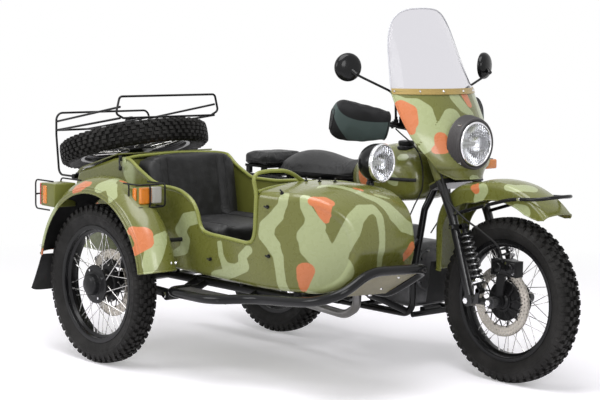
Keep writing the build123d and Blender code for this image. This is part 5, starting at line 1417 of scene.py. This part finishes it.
RIGHT_RIM = [(0.045, 0.87), (0.075, 0.866), (0.135, 0.832), (0.23, 0.788), (0.303, 0.771), (0.381, 0.769),
    (0.437, 0.761), (0.492, 0.74), (0.527, 0.717), (0.554, 0.678), (0.569, 0.633), (0.589, 0.606),
    (0.636, 0.597), (0.749, 0.592), (0.878, 0.585), (0.912, 0.596), (0.926, 0.632), (0.9349, 0.78)]
LEFT_RIM = [(0.045, 0.87), (0.07, 0.868), (0.129, 0.825), (0.244, 0.773), (0.42, 0.773), (0.573, 0.788),
    (0.9349, 0.786)]
STATIONS = np.unique(np.concatenate([np.linspace(-0.338, 0.044, 22), np.linspace(0.046, 0.5, 26),
    np.linspace(0.5, 0.6, 17), np.linspace(0.6, 0.87, 13), np.linspace(0.87, 0.9349, 12),
    np.linspace(0.9351, 1.15, 16), 1.15 + 0.14 * np.sin(np.linspace(0, np.pi / 2, 30))]))
TIP = 1.29


def edge_rows():
    """At each station: the side panels' top and bottom points, outward normals, edge radii, deck crown."""
    top, bottom = side_profile()
    crown = np.interp(top[:, 0], [-0.34, -0.25, 0.05, 0.93, 1.15, 1.3, 1.34],
        [0.002, 0.01, 0.01, 0.026, 0.026, 0.014, 0.008])
    bend_top = np.interp(top[:, 0], [-0.34, 0.0, 0.93, 1.0], [0.02, 0.022, 0.03, 0.035])
    bend_low = np.interp(bottom[:, 0], [0.9, 1.2, 1.3, 1.34], [0.015, 0.022, 0.033, 0.035])
    top_in, top_out = set_in(top, bend_top + crown, 1)
    low_in, low_out = set_in(bottom, bend_low, -1)
    top_x = STATIONS
    low_x = -0.32 + (STATIONS + 0.338) * (TIP + 0.32) / (TIP + 0.338)

    def sampled(x, line, *values):
        """Values that follow a line, read at each station's x."""
        order = np.argsort(line[:, 0], kind="stable")
        return [np.interp(x, line[order, 0], v[order]) for v in values]

    tz, tox, toz, tb, tc = sampled(top_x, top_in, top_in[:, 1], top_out[:, 0], top_out[:, 1], bend_top,
        crown)
    bz, box_, boz, bb = sampled(low_x, low_in, low_in[:, 1], low_out[:, 0], low_out[:, 1], bend_low)
    meet = (tz[-1] + bz[-1]) / 2
    fade = np.clip((top_x - 1.255) / 0.035, 0, 1) ** 2
    tz, bz = tz + (meet - tz[-1]) * fade, bz + (meet - bz[-1]) * fade
    tox[-1], toz[-1], box_[-1], boz[-1] = 1, 0, 1, 0
    return (np.stack([top_x, tz], 1), np.stack([tox, toz], 1), tb, tc), (np.stack([low_x, bz], 1),
        np.stack([box_, boz], 1), bb)


def side_panel(rim, plan, rows):
    """A side wall ruled between its bottom and its top, or the cockpit's rim where that is open."""
    (top, _, _, _), (low, _, _) = rows
    open_here = (STATIONS > 0.045) & (STATIONS < 0.935)
    rim = np.array(rim)
    high = top.copy()
    high[open_here, 1] = np.interp(STATIONS[open_here], rim[:, 0], rim[:, 1])
    share = np.linspace(0, 1, 44)[None, :, None]
    xz = low[:, None] + (high - low)[:, None] * share
    return points_of(xz[..., 0], plan(xz[..., 0]), xz[..., 1])


def wrap_surface(rows):
    """Deck, nose, bottom, tail and boot top in one strip, with rolled edges at both walls and a crown."""
    (top, top_out, top_bend, crown), (low, low_out, low_bend) = rows
    share = np.linspace(0, 1, 44)[1:-1, None]
    tail = low[0] + (top[0] - low[0]) * share
    tail_out = np.repeat([[-0.998, -0.06]], len(share), 0)
    tail_bend = low_bend[0] + (top_bend[0] - low_bend[0]) * share[:, 0]
    front = STATIONS > 0.935
    boot = STATIONS < 0.045
    line = np.concatenate([top[front], low[::-1][1:], tail, top[boot]])
    out = np.concatenate([top_out[front], low_out[::-1][1:], tail_out, top_out[boot]])
    bend = np.concatenate([top_bend[front], low_bend[::-1][1:], tail_bend, top_bend[boot]])
    rise = np.concatenate([crown[front], np.zeros(len(low) - 1 + len(tail)), crown[boot]])
    tail_fade = np.interp(np.arange(len(line)), [front.sum() - 1, front.sum() + 12], [1, 0])
    rise = np.maximum(rise, crown[front][-1] * tail_fade * (np.arange(len(line)) >= front.sum() - 1))
    out = unit(out)
    turn = np.linspace(0, np.pi / 2, 8)
    w = np.linspace(-1, 1, 55)
    right, left = right_side(line[:, 0])[:, None], left_side(line[:, 0])[:, None]
    b = bend[:, None]
    arc_r, arc_l = right + b * (1 - np.cos(turn)), left - b * (1 - np.cos(turn[::-1]))
    mid = (right + b) + (left - right - 2 * b) * (w[1:-1] + 1) / 2
    y = np.concatenate([arc_r, mid, arc_l], 1)
    lift = np.concatenate([b * np.sin(turn), b + rise[:, None] * (1 - w[1:-1] ** 2),
        b * np.sin(turn[::-1])], 1)
    return points_of(line[:, None, 0] + out[:, None, 0] * lift, y, line[:, None, 1] + out[:, None, 1]
        * lift)


def without_hole(part, low, high):
    """The same surface with the faces dropped whose middles lie in a box."""
    middle = part[0][part[1]].mean(1)
    inside = np.all((middle > low) & (middle < high), axis=1)
    return part[0], part[1][~inside]


TUB_SAGE = [[(1063, -894, 812, 21, 16), (1056, -897, 761, 22, 17), (1029, -906, 714, 34, 26),
    (987, -918, 671, 39, 30), (982, -919, 635, 39, 30), (1016, -911, 598, 35, 27),
    (1039, -903, 555, 25, 19), (1047, -900, 500, 21, 16), (1055, -897, 450, 21, 16),
    (1070, -892, 414, 23, 18)], [(1063, -894, 812, 19, 15), (1100, -878, 827, 17, 13),
    (1116, -819, 836, 15, 12), (1102, -712, 837, 16, 12), (1147, -672, 830, 16, 12),
    (1186, -639, 818, 16, 12), (1225, -607, 797, 18, 14), (1250, -562, 778, 22, 17),
    (1276, -530, 753, 31, 24), (1305, -508, 714, 38, 29), (1323, -469, 678, 41, 31),
    (1330, -417, 658, 38, 29)], [(1143, -856, 796, 23, 18), (1147, -853, 757, 24, 19),
    (1167, -841, 718, 28, 22), (1177, -834, 681, 46, 36), (1169, -840, 641, 64, 49),
    (1182, -831, 598, 69, 53), (1217, -805, 552, 67, 51), (1240, -785, 513, 82, 63),
    (1212, -809, 459, 64, 50), (1184, -830, 415, 44, 34)], [(1240, -786, 553, 64, 49),
    (1262, -764, 603, 40, 31), (1284, -742, 663, 42, 33), (1299, -724, 715, 41, 32),
    (1283, -672, 746, 36, 28), (1278, -615, 752, 22, 17), (1302, -598, 720, 19, 15),
    (1327, -601, 667, 19, 15), (1339, -606, 619, 19, 15), (1339, -617, 570, 18, 14),
    (1323, -604, 519, 18, 14)], [(705, -935, 575, 16, 12), (715, -935, 526, 17, 13),
    (742, -935, 484, 23, 18), (807, -935, 472, 32, 25), (861, -935, 496, 34, 26), (852, -935, 533, 26, 20),
    (888, -934, 565, 25, 19)], [(799, -935, 468, 32, 25), (726, -935, 442, 32, 25),
    (610, -895, 438, 19, 15)], [(568, -937, 670, 35, 27), (480, -935, 650, 38, 30),
    (440, -935, 602, 36, 28), (477, -935, 563, 30, 23), (463, -935, 521, 30, 23), (402, -935, 499, 19, 15)],
    [(48, -940, 896, 14, 11), (2, -935, 858, 19, 14), (-36, -935, 813, 19, 15)],
    [(1224, -548, 797, 9, 7), (1245, -479, 783, 11, 8)]]
TUB_ORANGE = [[(1176, -835, 784, 28, 22), (1204, -815, 780, 40, 31), (1227, -796, 786, 28, 22)],
    [(1204, -815, 770, 41, 32), (1211, -810, 730, 26, 20), (1215, -806, 707, 13, 10)],
    [(1148, -853, 506, 40, 31), (1144, -855, 475, 32, 25), (1143, -856, 447, 23, 18),
    (1143, -856, 427, 13, 10)], [(1340, -425, 612, 18, 14), (1341, -431, 585, 32, 24),
    (1336, -457, 556, 29, 22), (1328, -468, 530, 17, 13)], [(1173, -617, 822, 8, 6),
    (1191, -594, 815, 10, 8)]]
tub_paint = camouflage("body paint", [(LEFT, REAR[1] - 0.42), (BACK, -REAR[0] - 0.12)])
plain_olive = enamel("plain olive", OLIVE, 0.34, 0.3)
rows = edge_rows()
walls = [grid(side_panel(RIGHT_RIM, right_side, rows)), flipped(grid(side_panel(LEFT_RIM, left_side,
    rows)))]
wrap = without_hole(grid(wrap_surface(rows)), (-0.285, -0.88, 0.75), (-0.07, -0.42, 0.95))
tub = fitted("sidecar_tub", [*walls, wrap], tub_paint, ["sidecar_body"], crease=50)
outward = read(tub.data.polygons, "center") - corners_of(tub).mean(0)
if (read(tub.data.polygons, "normal") * outward).sum() < 0:
    tub.data.flip_normals()
tub.data.materials.append(plain_olive)
dappled(tub, TUB_SAGE, TUB_ORANGE)
wall = tub.modifiers.new("wall", "SOLIDIFY")
wall.thickness, wall.offset, wall.material_offset, wall.material_offset_rim = 0.005, -1, 1, 0
bulkhead = np.array([[(0.034, y, 0.872), (0.09, y, 0.44)] for y in (-0.929, -0.381)])
fitted("bulkhead_and_seat_box", [sheet(bulkhead, 0.005), block((0.23, -0.895, 0.438),
    (0.61, -0.415, 0.4995), 0.008, 3)], plain_olive, crease=40)
carpet = rubber("floor mat", (0.018, 0.018, 0.018), 0.8)
fitted("floor_mat", block((0.625, -0.85, 0.436), (1.1, -0.4, 0.443), 0.003, 3), carpet)
right_rim = [(x, -0.931, z + 0.007) for x, z in RIGHT_RIM[:-1]] + [(0.935, -0.932, 0.8),
    (0.932, -0.946, 0.858), (0.93, -0.926, 0.881), (0.93, -0.857, 0.887), (0.93, -0.777, 0.883),
    (0.93, -0.734, 0.868), (0.93, -0.69, 0.842), (0.932, -0.66, 0.826)]
left_rim = [(x, -0.3795, z + 0.007) for x, z in LEFT_RIM]
back_rim = [(0.045, -0.931, 0.878), (0.04, -0.88, 0.886), (0.038, -0.655, 0.894), (0.04, -0.43, 0.886),
    (0.045, -0.3795, 0.878)]
deck_rim = [(0.936, -0.925, 0.806), (0.936, -0.85, 0.82), (0.936, -0.655, 0.8335), (0.936, -0.46, 0.82),
    (0.936, -0.385, 0.806)]
rims = together([bent_tube(right_rim, 0.0085, 0.02), bent_tube(left_rim, 0.0085, 0.03),
    bent_tube(back_rim, 0.008, 0.03), bent_tube(deck_rim, 0.007, 0.03)])
rim_olive = enamel("rim olive", (0.165, 0.18, 0.038), 0.28, 0.3)
fitted("cockpit_rim", rims, rim_olive, crease=60)
lugs = []
for y0, y1, y_mid in ((-0.903, -0.8975, -0.905), (-0.4029, -0.3974, -0.395)):
    lugs.append(block((-0.402, y0, 0.749), (-0.35, y1, 0.782), 0.0025, 3))
    lugs.append(bars([-0.388, min(y0, y_mid) - 0.022, 0.765], [-0.388, max(y1, y_mid) + 0.022, 0.765],
        0.005, 12))
fitted("hinge_lugs", lugs, satin_black)
SNAPS = [(0.648, -0.935, 0.501, 0, -1, 0), (0.989, -0.918, 0.749, 0.24, -0.97, 0),
    (0.997, -0.916, 0.551, 0.26, -0.97, 0), (1.039, -0.886, 0.806, 0.05, -0.5, 0.865),
    (0.95, -0.679, 0.837, 0, 0, 1), (0.996, -0.646, 0.837, 0, 0, 1), (1.04, -0.601, 0.836, 0.01, 0, 1)]
snap_feet, snap_out = np.array([s[:3] for s in SNAPS]), np.array([s[3:] for s in SNAPS])
snaps = [bars(snap_feet - snap_out * 0.003, snap_feet + snap_out * 0.004, 0.0085, 16, 0.0075),
    bars(snap_feet + snap_out * 0.003, snap_feet + snap_out * 0.013, 0.0032, 10)]
wing = unit(np.cross(snap_out, [0.35, 0.2, 1.0]))
snaps.append(bars(snap_feet + snap_out * 0.013 - wing * 0.009, snap_feet + snap_out * 0.013 + wing * 0.009,
    0.0035, 8))
fitted("cover_snaps", snaps, satin_black)


# ---- sidecar seat
# A foam squab and backrest in black vinyl, each with raised side bolsters between sewn seams. Both are
# blown out by cloth simulation from their frame pieces, with the seam lines held, then piped.
back_seams = [(1, REAR[1] - 0.832), (1, REAR[1] - 0.79), (1, REAR[1] - 0.515), (1, REAR[1] - 0.473)]
rest_pad = stuffed("backrest_cover", "seat_back", 0.016, back_seams, shape=((1, 2), 6.0, 0.018, 0, 1))
squab = stuffed("squab_cover", "seat_cushion", 0.018, back_seams, shape=((0, 1), 8.0, 0.012, 2, 1))
for k, (_, y) in enumerate(back_seams):
    up_line = [(REAR[0] + 0.4, y, z) for z in np.linspace(0.585, 0.885, 40)]
    stitched(f"backrest_seam_{k}", rest_pad, up_line, [(-1, 0, 0)] * 40)
    top_line = [(REAR[0] + x, y, 0.8) for x in np.linspace(0.235, 0.632, 40)]
    stitched(f"squab_seam_{k}", squab, top_line, [(0, 0, -1)] * 40)


# ---- sidecar mudguard and lamps
# A wide rolled guard with two ribs beside its wired edge, black underseal inside, a rubber flap, and
# marker lamps front and rear in olive housings behind black wire guards.
GUARD_SAGE = [[(200, -1091, 808, 14, 11), (211, -1138, 797, 28, 21), (191, -1169, 777, 36, 28)],
    [(237, -1150, 783, 28, 21), (283, -1173, 746, 22, 17), (280, -1186, 725, 11, 8)],
    [(487, -1050, 602, 14, 10), (514, -1095, 577, 38, 29), (525, -1134, 533, 43, 33),
    (527, -1158, 481, 36, 28), (525, -1167, 453, 20, 16)]]
GUARD_ORANGE = [[(233, -1091, 801, 13, 10), (257, -1077, 793, 7, 5)],
    [(434, -1180, 615, 24, 19), (473, -1160, 600, 46, 35), (490, -1159, 573, 40, 31),
    (472, -1184, 540, 24, 19), (465, -1190, 523, 11, 8)], [(14, -1178, 755, 28, 22),
    (53, -1173, 771, 34, 26), (98, -1168, 783, 17, 13)]]
guard_paint = camouflage("side guard paint", [(BACK, -REAR[0] + 0.1)])
ribs = (-0.9, -0.8)
outer = wheel_guard((0.125, 0.378), -1.095, 0.095, 0.37, 0.437, 10, 160, ribs)
liner = wheel_guard((0.125, 0.378), -1.095, 0.0915, 0.3685, 0.4325, 10.3, 159.4)
side_guard = fitted("sidecar_mudguard_pressing", wired_sheet(outer, 0.0025, 0.0042), guard_paint,
    ["sidecar_mudguard"], crease=50)
dappled(side_guard, GUARD_SAGE, GUARD_ORANGE)
underseal = rubber("underseal", (0.01, 0.01, 0.01), 0.75)
fitted("mudguard_underseal", sheet(liner[::-1], 0.001), underseal, crease=50)
a = np.radians([30, 90, 150])
stay = on_circle(a, 0.371, -1.006) + [0.125, 0, 0.378]
fitted("mudguard_stays", bars(stay, stay + [0, 0.071, 0], 0.009, 14), satin_black)
a = np.radians([14, 14, 166])
bolt_r = np.array([0.426, 0.4, 0.405])
bolt = on_circle(a, bolt_r, [-1.06, -1.02, -1.17]) + [0.125, 0, 0.378]
out = on_circle(a, 1, [0.3, 0.6, -0.6])
fitted("mudguard_bolts", bars(bolt, bolt + out * 0.009, 0.008, 12, 0.005), chrome)
flap_line = eased([(-0.238, 0.441), (-0.268, 0.38), (-0.305, 0.31), (-0.326, 0.268)], 4, 0.02)
flap_y = np.linspace(-1.187, -1.003, 17)
drop = 0.01 * (np.abs(np.linspace(-1, 1, 17)) ** 6)
flap = points_of(flap_line[:, None, 0] + 0.004 * np.cos(3 * np.linspace(-1, 1, 17))[None], flap_y,
    flap_line[:, None, 1] + drop[None] * np.linspace(0, 1, len(flap_line))[:, None] ** 4)
fitted("sidecar_flap", sheet(flap, 0.005), flap_rubber, ["mud_flap"])


def wedge(low, high, foot, bend=0.006):
    """A lamp housing: a rounded box whose rear face is drawn in to a smaller foot."""
    points, faces = block(low, high, bend)
    low, high = np.asarray(low), np.asarray(high)
    share = ((points[:, 0] - low[0]) / (high[0] - low[0]))[:, None]
    middle = (low + high) / 2
    scale = foot + (1 - foot) * share
    points = np.concatenate([points[:, :1], middle[1:] + (points[:, 1:] - middle[1:]) * scale], 1)
    return points, faces


fitted("front_lamp_housing", wedge((0.27, -1.12, 0.716), (0.392, -1.004, 0.79), 0.62), plain_olive,
    ["marker_lamps"], crease=50)
fitted("front_lamp_amber", block((0.384, -1.117, 0.718), (0.404, -1.058, 0.788), 0.006), amber_lens,
    crease=60)
fitted("front_lamp_clear", block((0.384, -1.057, 0.718), (0.404, -1.006, 0.788), 0.006), clear_lens,
    crease=60)
fitted("side_reflectors", [block((0.352, -1.1235, 0.722), (0.376, -1.1165, 0.784), 0.003, 3),
    block((-0.268, -1.168, 0.668), (-0.238, -1.1615, 0.748), 0.003, 3)], amber_lens, crease=50)
points, faces = wedge((-0.288, -1.165, 0.655), (-0.176, -1.05, 0.76), 0.98)
fitted("rear_lamp_housing", (points, faces), plain_olive, crease=50)
fitted("rear_lamp_lens", block((-0.302, -1.162, 0.658), (-0.284, -1.053, 0.757), 0.006), red_lens,
    crease=60)
GUARD_WIRES = [(0.016, [(0.3, -1.13, 0.8), (0.408, -1.13, 0.8), (0.412, -1.06, 0.8), (0.408, -0.996, 0.8),
    (0.29, -0.998, 0.8)]), (0.016, [(0.33, -1.13, 0.704), (0.408, -1.13, 0.704), (0.412, -1.06, 0.704),
    (0.408, -0.996, 0.704), (0.35, -0.998, 0.704)]), (0.014, [(0.3, -1.13, 0.8), (0.34, -1.132, 0.8),
    (0.34, -1.132, 0.704), (0.325, -1.13, 0.704)]), (0.014, [(0.39, -1.075, 0.8), (0.414, -1.075, 0.797),
    (0.414, -1.075, 0.707), (0.39, -1.075, 0.704)]), (0.014, [(0.39, -0.998, 0.8), (0.411, -0.996, 0.797),
    (0.411, -0.996, 0.707), (0.39, -0.998, 0.704)]), (0.022, [(-0.17, -1.175, 0.772),
    (-0.312, -1.175, 0.772), (-0.312, -1.175, 0.643), (-0.2, -1.175, 0.643)]),
    (0.022, [(-0.15, -1.042, 0.772), (-0.312, -1.042, 0.772), (-0.312, -1.042, 0.643),
    (-0.22, -1.042, 0.643)]), (0.01, [(-0.3, -1.175, 0.707), (-0.313, -1.175, 0.707),
    (-0.313, -1.042, 0.707), (-0.3, -1.042, 0.707)])]
wires = [bent_tube(line, 0.0036, bend) for bend, line in GUARD_WIRES]
fitted("lamp_wire_guards", wires, satin_black, crease=60)


# ---- spotlight and indicator
# A black steel spotlight on a swivel foot on the deck, with the same rim, reflector and glass as the
# headlamp in a smaller size, and an amber indicator on a stalk behind the fairing.
aim = np.array([np.cos(np.radians(8)), np.sin(np.radians(8)), 0.0])
front = np.array([1.142, -0.425, 0.913])
back = front - aim * 0.115
shell = [(0, 0.0002), (0.001, 0.018), (0.01, 0.04), (0.03, 0.062), (0.055, 0.0755), (0.075, 0.0795),
    (0.112, 0.08), (0.114, 0.078)]
fitted("spotlight_shell", turned(back, front, eased(shell, 4, 0.01), 64), black_enamel,
    ["spotlight"], crease=50)
fit_lamp("spotlight", "outfit", back, front, 0.0745, 0.048, 24, 8)
foot = [(0, 0.001), (0, 0.024), (0.006, 0.024), (0.008, 0.0165), (0.024, 0.0165), (0.026, 0.013),
    (0.04, 0.013), (0.042, 0.0165), (0.052, 0.0165), (0.054, 0.01), (0.095, 0.01), (0.095, 0.001)]
stand_at = np.array([1.074, -0.4345, 0.8055])
fitted("spotlight_foot", [turned(stand_at, stand_at + [0, 0, 1], eased(foot, 3, 0.002), 36),
    bars([stand_at + [0, -0.02, 0.047]], [stand_at + [0, 0.02, 0.047]], 0.006, 6)], black_enamel)
fitted("indicator_body", [bars([1.128, 0.112, 0.88], [1.128, 0.192, 0.88], 0.007, 14),
    block((1.106, 0.188, 0.857), (1.134, 0.262, 0.903), 0.008)], black_enamel,
    ["front_indicator"], body="steering", crease=50)
fitted("indicator_lens", block((1.13, 0.19, 0.859), (1.152, 0.26, 0.901), 0.008), amber_lens,
    body="steering", crease=60)


# ---- boot lid, spare carrier and rack
# The boot's sloping lid in the body's paint carries the spare wheel on a stud, under a rack of thin
# black tube that swings with it. Levers at the side hold it shut, and a clamp knob holds the wheel.
refinish(wild_paint, "boot_lid")
refinish(black_enamel, "luggage_rack")
tilt = np.radians(16)
normal = np.array([-np.sin(tilt), 0, np.cos(tilt)])
hub = np.array([-0.29, -0.65, 0.913])
knob = [(0, 0.001), (0, 0.024), (0.005, 0.026), (0.012, 0.026), (0.016, 0.02), (0.022, 0.014),
    (0.024, 0.001)]
fitted("spare_clamp_knob", turned(hub + normal * 0.1055, hub + normal * 0.2, eased(knob, 3, 0.002), 12),
    satin_black, body="lid", crease=35)
latch = [block((-0.004, -0.9425, 0.866), (0.018, -0.936, 0.89), 0.003, 3),
    tube(eased([(0.006, -0.943, 0.88), (0.01, -0.948, 0.86), (0.021, -0.95, 0.838)], 4, 0.01), 0.004, 8),
    block((0.012, -0.956, 0.824), (0.03, -0.944, 0.846), 0.005, 3)]
fitted("lid_latch", latch, satin_black)


# ---- cables and hoses
# A rubber hose runs down to the front brake and a cable up to the spotlight. The clutch and throttle
# cables are held by the frame below and by the bar above.
hose_rubber = rubber("hose rubber", (0.012, 0.012, 0.012), 0.5)
BENDING = ("outfit", "steering", tuple(REAR + [0.98, 0, 0.68]), tuple(REAR + [0.98, 0, 0.94]))
# For each: its line, the points along it, its radius, its sides and what it rides on.
CABLES = {"clutch_cable": ([(0.985, 0.205, 1.04), (1.075, 0.15, 0.93), (1.065, 0.115, 0.79),
    (1.005, 0.105, 0.69), (0.9, 0.112, 0.56)], 60, 0.003, 8, BENDING),
    "throttle_cable": ([(0.985, -0.205, 1.04), (1.07, -0.15, 0.94), (1.06, -0.11, 0.8), (1.0, -0.1, 0.7),
    (0.94, -0.11, 0.58)], 60, 0.003, 8, BENDING), "spotlight_cable": ([(1.065, -0.4345, 0.835),
    (1.03, -0.4, 0.8), (1.01, -0.365, 0.745), (0.985, -0.3, 0.69), (0.96, -0.16, 0.64)], 60, 0.003, 8,
    "outfit"), "front_brake_hose": ([(1.5, -0.08, 0.515), (1.5, -0.115, 0.585), (1.43, -0.14, 0.64),
    (1.33, -0.145, 0.69), (1.235, -0.142, 0.76), (1.18, -0.125, 0.86), (1.12, -0.14, 0.96),
    (1.05, -0.18, 1.03), (0.985, -0.2, 1.045)], 90, 0.0042, 10, "steering")}
for name, (line, count, radius, sides, body) in CABLES.items():
    fitted(name, tube(smooth_rows(line, count), radius, sides), hose_rubber, body=body,
        crease=60)
